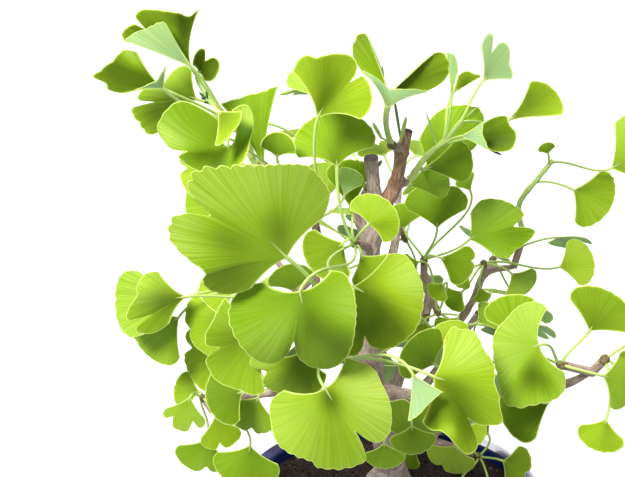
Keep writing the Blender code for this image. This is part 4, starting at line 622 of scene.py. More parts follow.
def curve_through(points, step):
    """A Catmull-Rom curve through the rows of points, sampled about every step of length."""
    points = np.array(points)
    padded = np.vstack((2 * points[0] - points[1], points, 2 * points[-1] - points[-2]))
    pieces = []
    for first in range(len(points) - 1):
        before, start, end, after = padded[first:first + 4]
        count = max(1, round(np.linalg.norm((end - start)[:3]) / step))
        t = np.arange(count)[:, None] / count
        pieces.append(start + 0.5 * t * (end - before
                      + t * (2 * before - 5 * start + 4 * end - after
                      + t * (3 * (start - end) + after - before))))
    return np.vstack(pieces + [points[-1:]])


def frames_along(line, side):
    """Unit sides and normals along a line, turned as little as possible."""
    tangents = np.gradient(line, axis=0)
    tangents /= np.linalg.norm(tangents, axis=1)[:, None]
    sides = np.empty_like(line)
    for row, tangent in enumerate(tangents):
        side = unit(side - tangent * (side @ tangent))
        sides[row] = side
    return sides, np.cross(sides, tangents)


def bent(distance, reach, turn):
    """A straight line of the given distances, bent in an arc that turns by turn at reach: the
    distances along the line's first direction and off it."""
    if abs(turn) < STRAIGHT:
        return distance, np.zeros_like(distance)
    rate = turn / reach
    return np.sin(rate * distance) / rate, (1 - np.cos(rate * distance)) / rate


class Leaf:
    """A fan leaf's shape: its blade as a function of place across and along the fan, and its stalk.
    It faces the viewer, and slides along the line of sight, unless up says where it faces."""

    def __init__(self, spec, slide=0.0, extra_roll=0.0, up=None):
        self.base = place(spec["base"])
        tip = place(spec["tip"])
        sight = unit(self.base - EYE)
        if up is None:
            self.base = self.base + sight * slide
            tip = tip + sight * slide
        self.radius = np.linalg.norm(tip - self.base)
        self.middle = (tip - self.base) / self.radius
        facing = -sight if up is None else up
        facing = unit(facing - self.middle * (facing @ self.middle))
        side = np.cross(self.middle, facing)
        roll = math.radians(spec["roll"] + extra_roll)
        self.up = facing * math.cos(roll) + side * math.sin(roll)
        self.side = np.cross(self.middle, self.up)
        self.half = math.radians(spec["half"])
        self.left, self.right, self.droop = (math.radians(spec[k]) for k in ("left", "right", "droop"))
        flip = -1 if abs(spec["roll"]) > 90 else 1
        self.rim = sorted((flip * s, r) for s, r in spec["rim"])
        self.splits = [(flip * s, depth, width) for s, depth, width in spec["splits"]]
        self.waves = [(flip * s, width, height) for s, width, height in spec["waves"]]
        self.stalk_bow = spec["bow"]
        self.neck = spec["neck"]
        self.stem = spec["stem"]

    def rim_radius(self, s):
        """The margin's distance from the base across the fan: a cubic curve through the rim's
        points, level with the chord of each point's neighbours, less a bell for each split."""
        places, radii = np.array(self.rim).T
        around = np.concatenate(([0], np.arange(len(places)), [len(places) - 1]))
        slopes = (radii[around[2:]] - radii[around[:-2]]) / (places[around[2:]] - places[around[:-2]])
        cell = np.clip(np.searchsorted(places, s) - 1, 0, len(places) - 2)
        width = places[cell + 1] - places[cell]
        t = np.clip((s - places[cell]) / width, 0, 1)
        radius = (radii[cell] * (1 + 2 * t) * (1 - t) ** 2 + radii[cell + 1] * (3 - 2 * t) * t ** 2
                  + width * (slopes[cell] * t * (1 - t) ** 2 + slopes[cell + 1] * (t - 1) * t ** 2))
        for at, depth, width in self.splits:
            radius = radius - depth * np.exp(-((s - at) / width) ** 2)
        return radius * self.radius

    def blade(self, s, t, frill=0.0, ripple=0.0):
        """Points of the blade's middle surface. s runs across the fan from -1 to 1 and t from the
        base to the margin. The flat fan's point is at angle s times the half opening, which
        narrows to the base, and at t times the rim's radius, less the margin's frill. The sides
        then bend up in arcs about the midline, the midline droops in an arc, and waves and the
        ripple rise along rays towards the margin."""
        angle = s * self.half * (self.neck + (1 - self.neck) * t ** NECK_POWER)
        reach = t * self.rim_radius(s) - frill * t ** 4
        x = reach * np.sin(angle) + s * (1 - t) * self.stem * STALK_WIDTH / 2
        y = reach * np.cos(angle)
        width = self.radius * math.sin(min(self.half, math.pi / 2))
        right_x, right_z = bent(np.maximum(x, 0), width, self.right)
        left_x, left_z = bent(np.maximum(-x, 0), width, self.left)
        z = right_z + left_z + ripple * t * t
        for at, spread, height in self.waves:
            z = z + height * self.radius * t * t * np.exp(-((s - at) / spread) ** 2)
        forward, drop = bent(np.maximum(y, 0), self.radius, self.droop)
        lean = self.droop * np.maximum(y, 0) / self.radius
        forward = forward + np.minimum(y, 0) + z * np.sin(lean)
        rise = z * np.cos(lean) - drop
        across = right_x - left_x
        return (self.base + across[..., None] * self.side + forward[..., None] * self.middle
                + rise[..., None] * self.up)

    def stalk(self, root, leave, count):
        """Points of the stalk from its root to the blade: a cubic curve that leaves the root in
        one direction, arrives along the midline, and bows to the side."""
        span = self.base - root
        length = np.linalg.norm(span)
        aside = np.cross(span, EYE - root)
        aside *= length * self.stalk_bow / np.linalg.norm(aside)
        first = root + leave * length * STALK_REACH + aside
        second = self.base - self.middle * length * STALK_REACH + aside
        t = np.linspace(0, 1, count)[:, None]
        return ((1 - t) ** 3 * root + 3 * t * (1 - t) ** 2 * first + 3 * t * t * (1 - t) * second
                + t ** 3 * self.base)


def nearest_on(line, point):
    """The point of the line that is nearest."""
    return line[np.argmin(np.linalg.norm(line - point, axis=1))]


def wood_lines(step):
    """Each branch's smooth centre line with its radii as a fourth column."""
    lines = {}
    for name, (points, radii) in WOOD.items():
        rows = [np.append(place(point), radius * MM) for point, radius in zip(points, radii)]
        lines[name] = curve_through(rows, step)
    return lines


class Spray:
    """A spray of leaves: its stem, from just off its spur's end, and the leaves placed so far."""

    def __init__(self, name, branch, stem, wood):
        self.name = name
        root = place(stem[0])
        middle = nearest_on(wood[branch][:, :3], root)
        heading = unit(root - middle)
        self.spur = np.array((middle - heading * SPUR_SINK, root))
        heading = unit(self.spur[1] - self.spur[0])
        start = root + heading * WOOD_GAP
        self.knob = len(stem) == 1
        if self.knob:
            self.line = start + np.linspace(0, 1, len(KNOB_SHARES))[:, None] * heading * KNOB_LENGTH
            self.radii = np.array(KNOB_SHARES) * KNOB_RADIUS
        else:
            stem = [start, start + heading * SHOOT_STRAIGHT] + [place(point) for point in stem[1:]]
            self.line = curve_through(stem, SHOOT_STEP)
            self.radii = np.linspace(*SHOOT_SHARES, len(self.line)) * KNOB_RADIUS
        self.leaves = []

    def root_of(self, at):
        """The place on the stem where a leaf grows, and the stem's direction there."""
        if self.knob:
            return self.line[1], unit(self.line[-1] - self.line[0])
        where = min(at, LAST_PLACE) * (len(self.line) - 1)
        k = min(int(where), len(self.line) - 2)
        step = self.line[k + 1] - self.line[k]
        return self.line[k] + step * (where - k), unit(step)


def leave_direction(shape, root, along):
    """A stalk leaves its stem half along the stem and half towards its blade."""
    return unit(along * ALONG_SHARE + unit(shape.base - root))


def corners_of(name):
    """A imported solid's corners, in a tree."""
    places = [corner.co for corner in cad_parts[name].data.vertices]
    tree = KDTree(len(places))
    for number, corner in enumerate(places):
        tree.insert(corner, number)
    tree.balance()
    return tree


def margin_places(shape):
    """The places across where the solid's margin has its corners."""
    margin = {s for s, radius in shape.rim}
    if margin == {s for s, radius in ROUND_RIM}:
        margin = set(PLAIN_MARGIN)
    for at, depth, width in shape.splits:
        margin = {s for s in margin if abs(s - at) > SPLIT_SPAN * width or abs(s) == 1}
        margin |= {at, max(at - 2 * width, -1), min(at + 2 * width, 1)}
    return np.array(sorted(margin))


def off_by(tree, point, distance):
    """How far the nearest corner is from being at the distance."""
    return abs(tree.find(point)[2] - distance)


def blade_meets(shape, tree):
    """Whether most of the margin's corners are half the blade's thickness off the solid's corners."""
    s = margin_places(shape)
    misses = [off_by(tree, point, BLADE_THICK / 2) for point in shape.blade(s, np.ones(len(s)))]
    return np.median(misses) < MEETS


def stalk_miss(shape, root, leave, tree):
    """How far the stalk's rings are from the solid's corners."""
    turn = math.acos(np.clip(leave @ shape.middle, -1, 1))
    count = STALK_RINGS + int(np.linalg.norm(root - shape.base) > LONG_STALK) + int(turn / STALK_TURN)
    line = shape.stalk(root, leave, count)[::-1]
    misses = []
    for k in range(1, count - 1):
        share = k / (count - 1)
        deep = (1 - share) * (BLADE_THICK + BASE_EXTRA) / 2 + share * shape.stem * STALK_THICK / 2
        misses.append(off_by(tree, line[k], math.hypot(shape.stem * STALK_WIDTH / 2, deep)))
    return max(misses)


def find_seen(spray, specs, tree):
    """Finds which of its tries each placed leaf took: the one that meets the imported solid."""
    for spec in specs:
        root, along = spray.root_of(spec["at"])
        for extra_roll, slide in itertools.product(EXTRA_ROLLS, SLIDES):
            shape = Leaf(spec, slide * MM, extra_roll)
            if not blade_meets(shape, tree):
                continue
            leave = leave_direction(shape, root, along)
            misses = []
            for extra_bow in EXTRA_BOWS:
                shape.stalk_bow = spec["bow"] + extra_bow
                misses.append(stalk_miss(shape, root, leave, tree))
            shape.stalk_bow = spec["bow"] + EXTRA_BOWS[int(np.argmin(misses))]
            spray.leaves.append((shape, root, leave))
            break


def find_ruled(spray, count, rng, tree):
    """Draws the ruled leaves of a spur again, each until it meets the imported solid."""
    root, along = spray.root_of(1.0)
    outward = unit(root - CROWN_MIDDLE)
    first = unit(np.cross(outward, UPRIGHT))
    second = np.cross(outward, first)
    turn = rng.uniform(0, TURN)
    for number in range(count):
        for attempt in range(RULE_TRIES):
            drawn = {name: rng.uniform(*span) for name, span in DRAWN.items()}
            angle = turn + number * GOLDEN_ANGLE + math.radians(drawn["turn"])
            around = first * math.cos(angle) + second * math.sin(angle)
            away = unit(outward + around * drawn["spread"] + UPRIGHT * UPWARD_SHARE)
            base = root + away * drawn["stalk"] * MM
            heading = unit(away + outward * OUTWARD_SHARE + UPRIGHT * drawn["sink"])
            own = {name: drawn[name] for name in ("half", "roll", "left", "right", "droop", "bow")}
            spec = leaf(base, base + heading * drawn["size"] * MM, **own,
                        splits=((drawn["split_at"], drawn["split_depth"], SPLIT_WIDTH),),
                        waves=((drawn["wave_at"], WAVE_WIDTH, drawn["wave_height"]),))
            shape = Leaf(spec, up=UPRIGHT + outward * FACING_SHARE)
            if blade_meets(shape, tree):
                spray.leaves.append((shape, root, leave_direction(shape, root, along)))
                break


def ruled_stems(wood):
    """The stem places of the sprays that follow the rule, off their branches to the outside."""
    for branch, shares, count in RULED:
        line = wood[branch][:, :3]
        for number, share in enumerate(shares):
            where = share * (len(line) - 1)
            k = min(int(where), len(line) - 2)
            along = unit(line[k + 1] - line[k])
            turn = FIRST_TURN + TURN_STEP * number
            aside = unit(np.cross(along, UPRIGHT))
            above = np.cross(aside, along)
            off = aside * math.cos(turn) + above * math.sin(turn) + along * SPUR_LEAN
            start = line[k] + (line[k + 1] - line[k]) * (where - k)
            start = start + (along if share == 1.0 else off) * SPUR_REACH
            yield f"{branch}_{number + 1}", branch, [start], count


def grow():
    """All the sprays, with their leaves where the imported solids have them."""
    wood = wood_lines(WOOD_STEP)
    placed = [(Spray(name, branch, stem, wood), leaves)
              for name, (branch, stem, leaves) in SPRAYS.items()]
    ruled = [(Spray(name, branch, stem, wood), count)
             for name, branch, stem, count in ruled_stems(wood)]
    for spray, specs in placed:
        find_seen(spray, specs, corners_of("spray_" + spray.name))
    rng = np.random.default_rng(RULE_SEED)
    for spray, count in ruled:
        find_ruled(spray, count, rng, corners_of("spray_" + spray.name))
    return [spray for spray, leaves in placed + ruled]


def angles(sides):
    """Angles evenly round a full turn."""
    return np.arange(sides) * TURN / sides


def waves_of(rng, count, lowest, highest):
    """Random sine waves as rows of (two frequencies, phase, height), for a rough surface."""
    rates = rng.uniform(lowest, highest, (count, 1))
    ways = rng.uniform(0, TURN, (count, 1))
    phases = rng.uniform(0, TURN, (count, 1))
    heights = np.full((count, 1), 1 / math.sqrt(count))
    return np.hstack((rates * np.cos(ways), rates * np.sin(ways), phases, heights))


def rough(waves, a, b):
    """The sum of the waves over two arrays of places."""
    total = np.zeros(np.broadcast(a, b).shape)
    for rate_a, rate_b, phase, height in waves:
        total = total + height * np.sin(rate_a * a + rate_b * b + phase)
    return total


def surface_normals(points, outwards):
    """Unit normals of a grid of points, turned to the side that outwards is on."""
    normals = np.cross(np.gradient(points, axis=1), np.gradient(points, axis=0))
    normals /= np.maximum(np.linalg.norm(normals, axis=2), NO_LENGTH)[..., None]
    return normals * np.sign(np.sum(normals * outwards, axis=2).mean())


def grid_quads(index):
    """The quads between the rows and columns of a grid of point numbers."""
    corners = (index[:-1, :-1], index[:-1, 1:], index[1:, 1:], index[1:, :-1])
    return np.stack(corners, axis=-1).reshape(-1, 4)


def shell_quads(rows, columns):
    """The quads of a thin closed body: two grids of points, and a strip that joins their edges."""
    count = rows * columns
    index = np.arange(count).reshape(rows, columns)
    edge = np.concatenate((index[0, :-1], index[:-1, -1], index[-1, :0:-1], index[:0:-1, 0]))
    after = np.roll(edge, -1)
    strip = np.stack((edge, edge + count, after + count, after), axis=1)
    upper = grid_quads(index)
    return np.concatenate((upper, upper[:, ::-1] + count, strip))


def ring_faces(rows, sides):
    """The quads between the rings of a closed body, and its two flat ends."""
    index = np.arange(rows * sides).reshape(rows, sides)
    ends = [index[0, ::-1].tolist(), index[-1].tolist()]
    return grid_quads(np.hstack((index, index[:, :1]))), ends


def part_of(points, quads, caps=(), slot=0, **values):
    """One closed surface of a piece, with values for each of its points."""
    count = len(points)
    filled = {name: np.broadcast_to(values.get(name, 0.0), (count,)) for name in VALUES}
    fan = values.get("fan", np.zeros((count, 2)))
    return dict(points=points, quads=quads, caps=list(caps), slot=slot, values=filled, fan=fan)


def ring_part(rings, **values):
    """A closed body of rings of points, flat at both ends."""
    quads, ends = ring_faces(len(rings), len(rings[0]))
    return part_of(np.vstack(rings), quads, ends, **values)


def tube_part(line, radii, sides, slot=0, carve=None, **values):
    """A closed tube along a line: circles square to it, whose radius carve may change by angle,
    distance along and radius."""
    side, normal = frames_along(line, SECTION_START)
    angle = angles(sides)
    distance = np.concatenate(([0], np.cumsum(np.linalg.norm(np.diff(line, axis=0), axis=1))))
    radius = np.asarray(radii)[:, None] * np.ones(sides)
    if carve is not None:
        radius = carve(angle[None, :], distance[:, None], radius)
    circle = np.cos(angle)[:, None] * side[:, None, :] + np.sin(angle)[:, None] * normal[:, None, :]
    points = line[:, None, :] + circle * radius[..., None]
    fan = np.stack((angle[None, :] * radius / MM, distance[:, None] / MM * np.ones(sides)), axis=-1)
    quads, ends = ring_faces(len(line), sides)
    return part_of(points.reshape(-1, 3), quads[:, ::-1], [end[::-1] for end in ends], slot,
                   fan=fan.reshape(-1, 2), **values)


def painted_shading(shape, across, reach, tone, patches):
    """How far each place of a blade is from its usual green: painted shade in deep olive above 0 and
    painted light in pale green below. It sums the leaf's tone, which is painted for a listed leaf and
    random for the rest, painted shade that deepens at the base, and for each (s, t, spread, amount) a
    soft patch of painted shadow, or of painted highlight where the amount is below 0, long along the
    fan's rays, where t and the spread are shares of the radius."""
    total = tone + BASE_PAINTED_SHADE * np.clip(1 - reach, 0, 1) ** 2
    for s, t, spread, amount in patches:
        aside = (across - s) * shape.half * (reach + t) / 2
        gap = np.hypot(aside, (reach - t) / PATCH_LENGTH)
        total = total + amount * np.exp(-(gap / spread) ** 2)
    return total


def margin_frill(shape, across, arc, wide, scalloped, rng):
    """How far the margin is cut in across the fan: a row of round scallops, one less the size of a
    sine, warped and of uneven depth, smaller on small leaves and gone at the fan's two corners."""
    lobes = (across + 1) / 2 * arc / SCALLOP
    warp = rough(waves_of(rng, *WARP_WAVES), across, 0)
    large = np.clip(shape.radius / LARGE_RADIUS, SMALL_SHARE, 1.0)
    uneven = np.clip(0.75 + 0.4 * rough(waves_of(rng, *UNEVEN_WAVES), across, 0), *UNEVEN)
    depth = large * scalloped * rng.uniform(*SCALLOP_DEPTH) * MM * uneven
    return depth * wide * (1 - np.abs(np.sin(math.pi * lobes + WARP * warp))) * (1 - across ** 12)


def ripples(shape, across, arc, wide, rng):
    """How far the margin rises across the fan: a fine wave on a long low swell."""
    height = rng.uniform(*RIPPLE_HEIGHT) * MM * wide
    ripple = height * rough(waves_of(rng, 4, 0.5 * arc / RIPPLE, 1.6 * arc / RIPPLE), across, 0)
    swell = rng.uniform(*SWELL_HEIGHT) * shape.radius
    return ripple + swell * rough(waves_of(rng, 3, 0.5 * arc / SWELL, 1.3 * arc / SWELL), across, 0)


def blade_part(shape, rng, tone, patches, scalloped):
    """A leaf's blade, thin and closed: an upper and a lower surface on either side of the blade's
    middle, which is thicker at the base, joined by a narrow strip round the edge."""
    arc = 2 * shape.half * shape.radius
    columns = int(np.clip(arc / GRID_ACROSS, *COLUMNS))
    rows = int(np.clip(shape.radius / GRID_ALONG, *ROWS))
    marks = [s for s, radius in shape.rim] + [at for at, depth, width in shape.splits]
    s = np.unique(np.round(np.concatenate((np.linspace(-1, 1, columns), marks)), 4))
    t = np.linspace(0, 1, rows) ** ROW_POWER
    t = np.append(t[:-1], (1 - LAST_ROW / shape.radius, 1.0))
    across, along = np.meshgrid(s, t)
    rim = shape.rim_radius(across)
    wide = np.clip(rim / shape.radius, 0, 1) ** 1.5
    frill = margin_frill(shape, across, arc, wide, scalloped, rng)
    middle = shape.blade(across, along, frill, ripples(shape, across, arc, wide, rng))
    normal = surface_normals(middle, shape.up)
    thick = LEAF_THICK * (1 + BASE_THICKER * np.exp(-along * shape.radius / BASE_REACH))
    half = normal * thick[..., None] / 2
    points = np.concatenate(((middle + half).reshape(-1, 3), (middle - half).reshape(-1, 3)))
    quads = shell_quads(*across.shape)
    corner, right, above = points[quads[0, [0, 1, 3]]]
    if np.cross(right - corner, above - corner) @ normal[0, 0] < 0:
        quads = quads[:, ::-1]
    reach = along * rim
    margin = np.minimum((1 - along) * rim, (1 - np.abs(across)) * shape.half * reach) / MM
    tint = rng.uniform(0, 1)
    # The shade value: painted shade and painted light from the tone, each listed spot and streaks along
    # the rays as of fold lines, with none at the margin.
    painted_fold_shade = rough(waves_of(rng, *FOLD_WAVES), across * shape.half, 0.5 * along)
    shade = painted_shading(shape, across, reach / shape.radius, tone, patches)
    shade = shade + FOLD_PAINTED_SHADE * painted_fold_shade * (1 - 0.4 * along)
    shade = np.clip(shade, -1, 1) * np.clip(margin, 0, 1)
    fan = np.stack((across * shape.half * shape.radius / MM, reach / MM), axis=-1).reshape(-1, 2)
    fan = fan + rng.uniform(0, 500, 2) * (1, 0)
    return part_of(points, quads, fan=np.concatenate((fan, fan)), margin=np.tile(margin.ravel(), 2),
                   underside=np.repeat((0.0, 1.0), across.size), tint=tint,
                   shade=np.tile(shade.ravel(), 2))


def grooved(angle, distance, radius):
    """A stalk's section: round, with one soft groove."""
    return radius * (1 - GROOVE_DEPTH * np.exp(-((angle - math.pi) / GROOVE_WIDTH) ** 2))


def stalk_part(shape, root, leave, stout):
    """A leaf's stalk: a slim tube that widens to its root and to the blade, and runs on as a low
    ridge along the blade's first stretch. A groove runs along it."""
    count = max(8, int(np.linalg.norm(shape.base - root) / STALK_STEP))
    ridge = shape.blade(np.zeros(RIDGE_POINTS), np.linspace(*RIDGE_PLACES, RIDGE_POINTS))
    line = np.vstack((shape.stalk(root, leave, count), ridge))
    share = np.linspace(0, 1, count)
    widths = stout * (0.86 + ROOT_SWELL * (1 - share) ** 6 + END_SWELL * share ** 5)
    widths = np.concatenate((widths, np.linspace(*RIDGE_WIDTHS, RIDGE_POINTS)))
    return tube_part(line, 0.5 * STALK_WIDTH * widths, STALK_SIDES, slot=1, carve=grooved)


def knob_part(line, radii, rng):
    """A spur's knob: rings of old leaf scars, as a sine along it, and a round end."""
    fine = curve_through(np.column_stack((line, radii)), KNOB_STEP)
    along = np.linalg.norm(fine[:, :3] - fine[0, :3], axis=1)
    radii = fine[:, 3] * (1 + SCAR_RISE * np.sin(along * TURN / SCAR_STEP))
    return tube_part(fine[:, :3], radii, STEM_SIDES, slot=2, tint=rng.uniform(0.3, 0.8))


def shoot_part(line, radii):
    """A green shoot: a smooth tube, a little thicker at its joints."""
    fine = curve_through(np.column_stack((line, radii)), SHOOT_GRID)
    along = np.linspace(0, 1, len(fine))
    swell = 1 + JOINT_RISE * np.exp(-((along * SHOOT_JOINTS % 1 - 0.5) / JOINT_WIDTH) ** 2)
    return tube_part(fine[:, :3], fine[:, 3] * swell, STEM_SIDES, slot=1)


def bud_part(start, end, radius, darkness):
    """A slim bud: narrow where it starts, widest below its middle, and pointed."""
    share = np.linspace(0, 1, BUD_POINTS)
    radii = radius * MM * (0.45 + 0.9 * share) * (1 - share ** 2.5) ** 0.7 + BUD_TIP
    return tube_part(start + (end - start) * share[:, None], radii, BUD_POINTS, slot=1, shade=darkness)


def branch_part(name, line, sides, rng):
    """A branch of wood: its tube swells where it leaves its parent, at nodes and at leaf scars, and
    its bark is furrowed by sharp-edged waves that run mostly along it."""
    fine = curve_through(line, BRANCH_STEP)
    youth = YOUTH.get(name, USUAL_YOUTH)
    nodes = waves_of(rng, *NODE_WAVES)
    furrows = waves_of(rng, *FURROW_WAVES)

    def barked(angle, distance, radius):
        along = distance / MM
        cut = np.abs(rough(furrows, angle * 6 * np.cos(angle), along * FURROW_STRETCH)) - FURROW_MIDDLE
        depth = OLD_FURROW if youth < 0.5 else YOUNG_FURROW
        ring = NODE_RISE * rough(nodes, along * NODE_STRETCH, 0)
        return radius + (depth * cut * np.minimum(1, radius / THICK_BRANCH) + ring * radius)

    length = np.cumsum(np.linalg.norm(np.diff(fine[:, :3], axis=0, prepend=fine[:1, :3]), axis=1))
    cut = CUTS.get(name, 0.0) * np.exp(-((length[-1] - length) / CUT_REACH) ** 2)
    radii = fine[:, 3]
    if name != "trunk":
        off = np.linalg.norm(fine[:, :3] - fine[0, :3], axis=1)
        radii = radii * (1 + COLLAR_RISE * np.exp(-off / (COLLAR_REACH * fine[0, 3])))
    for at, rise in SCARS.get(name, ()):
        radii = radii * (1 + rise * np.exp(-((length / length[-1] - at) / SCAR_WIDTH) ** 2))
    return tube_part(fine[:, :3], radii, sides, carve=barked, tint=youth, shade=np.repeat(cut, sides))


def foot_part(rng):
    """The lobed root foot: a round section whose radius follows the flare's heights and swells in
    five lobes, with furrows that run down it."""
    heights, radii, depths = np.array(FLARE).T
    height = np.linspace(heights[0], heights[-1], FOOT_RINGS)[:, None]
    angle = angles(FOOT_SIDES)
    mean = np.interp(height, heights, radii)
    lobes = np.cos(FLARE_LOBES * angle + FLARE_TWIST * np.sin(angle))
    furrows = np.abs(rough(waves_of(rng, *FOOT_WAVES), angle, height * FOOT_STRETCH)) - FURROW_MIDDLE
    around = mean * (1 + np.interp(height, heights, depths) * lobes) + OLD_FURROW / MM * furrows
    tall = np.broadcast_to(height, around.shape)
    rings = np.stack((around * np.cos(angle), around * np.sin(angle), tall), axis=-1) * MM
    fan = np.stack((angle * mean, tall), axis=-1)
    return ring_part(rings, fan=fan.reshape(-1, 2), tint=FOOT_YOUTH)


def oval(inset, height, angle):
    """A ring round the pot's oval, inset from its rim, in mm."""
    wide, deep = (half - inset * MM for half in RIM_HALF)
    level = np.full(len(angle), height * MM)
    return np.stack((wide * np.cos(angle), deep * np.sin(angle), level), axis=1)


def lofted(profile, sides):
    """Oval rings through a profile of (inset, height)."""
    return [oval(inset, height, angles(sides)) for inset, height in profile]


def rounded(profile, step):
    """The profile with points added between its own, on a smooth curve."""
    return [tuple(point) for point in curve_through([(*point, 0.0) for point in profile], step)[:, :2]]


def ball_template():
    """The corners and faces of a twelve-cornered ball, of three golden rectangles."""
    long = (1 + math.sqrt(5)) / 2
    corners = np.array([(s, t * long, 0) for s in (-1, 1) for t in (-1, 1)])
    corners = np.vstack((corners, corners[:, (2, 0, 1)], corners[:, (1, 2, 0)])) / math.hypot(1, long)
    gaps = np.linalg.norm(corners[:, None] - corners[None], axis=2)
    near = (gaps > 0.1) & (gaps < 1.2)
    faces = []
    for a, b, c in itertools.combinations(range(BALL_CORNERS), 3):
        if near[a, b] and near[b, c] and near[a, c]:
            turn = np.dot(np.cross(corners[b] - corners[a], corners[c] - corners[a]), corners[a])
            faces.append((a, b, c) if turn > 0 else (a, c, b))
    return corners, np.array(faces)


def random_turns(rng, count):
    """Random rotations, from unit quaternions."""
    w, x, y, z = rng.normal(size=(count, 4)).T
    size = np.sqrt(w * w + x * x + y * y + z * z)
    w, x, y, z = w / size, x / size, y / size, z / size
    rows = ((1 - 2 * (y * y + z * z), 2 * (x * y - z * w), 2 * (x * z + y * w)),
            (2 * (x * y + z * w), 1 - 2 * (x * x + z * z), 2 * (y * z - x * w)),
            (2 * (x * z - y * w), 2 * (y * z + x * w), 1 - 2 * (x * x + y * y)))
    return np.stack([np.stack(row, axis=1) for row in rows], axis=1)


def put(name, data):
    """A new object in the scene."""
    thing = bpy.data.objects.new(name, data)
    bpy.context.scene.collection.objects.link(thing)
    return thing


def assemble(name, parts, finishes, node):
    """Makes one piece of its parts, in place of a node of the frame."""
    starts = np.cumsum([0] + [len(part["points"]) for part in parts])
    faces, slots = [], []
    for start, part in zip(starts, parts):
        own = (part["quads"] + start).tolist() + [[start + k for k in cap] for cap in part["caps"]]
        faces += own
        slots += [part["slot"]] * len(own)
    mesh = bpy.data.meshes.new(name)
    mesh.from_pydata(np.concatenate([part["points"] for part in parts]), [], faces)
    for finish in finishes:
        mesh.materials.append(finish)
    mesh.polygons.foreach_set("material_index", slots)
    for value in VALUES:
        layer = mesh.attributes.new(value, "FLOAT", "POINT")
        layer.data.foreach_set("value", np.concatenate([part["values"][value] for part in parts]))
    corner = np.empty(len(mesh.loops), int)
    mesh.loops.foreach_get("vertex_index", corner)
    fan = np.concatenate([part["fan"] for part in parts])[corner]
    mesh.uv_layers.new(name="Fan").data.foreach_set("uv", fan.ravel())
    mesh.shade_smooth()
    mesh.set_sharp_from_angle(angle=SMOOTH_ANGLE)
    mesh.update()
    piece = put(name, mesh)
    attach(piece, BODY)
    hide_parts(node)
    return piece


def make_wood(sprays, bark):
    """The trunk with its foot, branches and spurs."""
    rng = np.random.default_rng(LOOK_SEED)
    parts = [foot_part(rng)]
    for name, line in wood_lines(WOOD_STEP).items():
        parts.append(branch_part(name, line, TRUNK_SIDES if name == "trunk" else BRANCH_SIDES, rng))
    for spray in sprays:
        line = np.linspace(*spray.spur, SPUR_POINTS)
        parts.append(tube_part(line, np.full(SPUR_POINTS, SPUR_RADIUS), SPUR_SIDES, tint=SPUR_YOUTH))
    assemble("ginkgo_wood", parts, [bark], "trunk")


def make_sprays(sprays, finishes):
    """Each spray's fine leaves, stalks and stem, in place of its node."""
    for number, spray in enumerate(sprays):
        rng = np.random.default_rng(LOOK_SEED + number)
        line, radii = spray.line, spray.radii
        parts = [knob_part(line, radii, rng) if spray.knob else shoot_part(line, radii)]
        for order, (shape, root, leave) in enumerate(spray.leaves):
            key = (spray.name, order)
            # A listed leaf gets its painted shade, painted light and spots; any other leaf a random
            # tone.
            tone, *patches = PAINTED_LIGHT_AND_SHADE.get(key, (rng.uniform(*TONES),))
            parts.append(blade_part(shape, rng, tone, patches, SCALLOPED.get(key, 1.0)))
            parts.append(stalk_part(shape, root, leave, STOUT.get(key, 1.0)))
        for start, end, radius, darkness in BUDS.get(spray.name, ()):
            parts.append(bud_part(place(start), place(end), radius, darkness))
        assemble("leaves_" + spray.name, parts, finishes, "spray_" + spray.name)


def block(low, high):
    """A box between two corners, to cut with."""
    corners = [(x, y, z) for z, y, x in itertools.product(*zip(low[::-1], high[::-1]))]
    faces = [(0, 2, 3, 1), (4, 5, 7, 6), (0, 1, 5, 4), (2, 6, 7, 3), (0, 4, 6, 2), (1, 3, 7, 5)]
    mesh = bpy.data.meshes.new("block")
    mesh.from_pydata(corners, [], faces)
    return put("block", mesh)


def make_pot(finish):
    """The pot with its rounded rim, its feet and its drain holes cut from below."""
    foot, wall, band = POT_OUTSIDE[:3], POT_OUTSIDE[2:6], POT_OUTSIDE[6:]
    outside = [*foot, *rounded(wall, WALL_STEPS[0])[1:], *rounded(band, LIP_STEPS[0])]
    inside = rounded(POT_INSIDE[:2], LIP_STEPS[1]) + rounded(POT_INSIDE[2:], WALL_STEPS[1])
    body = ring_part(lofted(outside + inside, POT_SIDES))
    pot = assemble("glazed_pot", [body], [finish], "pot")
    cutters = [block((-x / 2 * MM, -y / 2 * MM, -FLOOR_TOP), (x / 2 * MM, y / 2 * MM, top * MM))
               for x, y, top in FOOT_GAPS]
    for x in (-DRAIN_AT, DRAIN_AT):
        bpy.ops.mesh.primitive_cylinder_add(vertices=DRAIN_SIDES, radius=DRAIN_RADIUS,
                                            depth=4 * FLOOR_TOP, location=(x, 0, FLOOR_TOP / 2))
        cutters.append(bpy.context.object)
    for cutter in cutters:
        step = pot.modifiers.new("cut", "BOOLEAN")
        step.operation = "DIFFERENCE"
        step.object = cutter
        step.solver = "EXACT"
    settled = bpy.data.meshes.new_from_object(pot.evaluated_get(bpy.context.evaluated_depsgraph_get()))
    pot.modifiers.clear()
    pot.data = settled
    settled.shade_smooth()
    settled.set_sharp_from_angle(angle=POT_SMOOTH_ANGLE)
    for cutter in cutters:
        bpy.data.objects.remove(cutter)


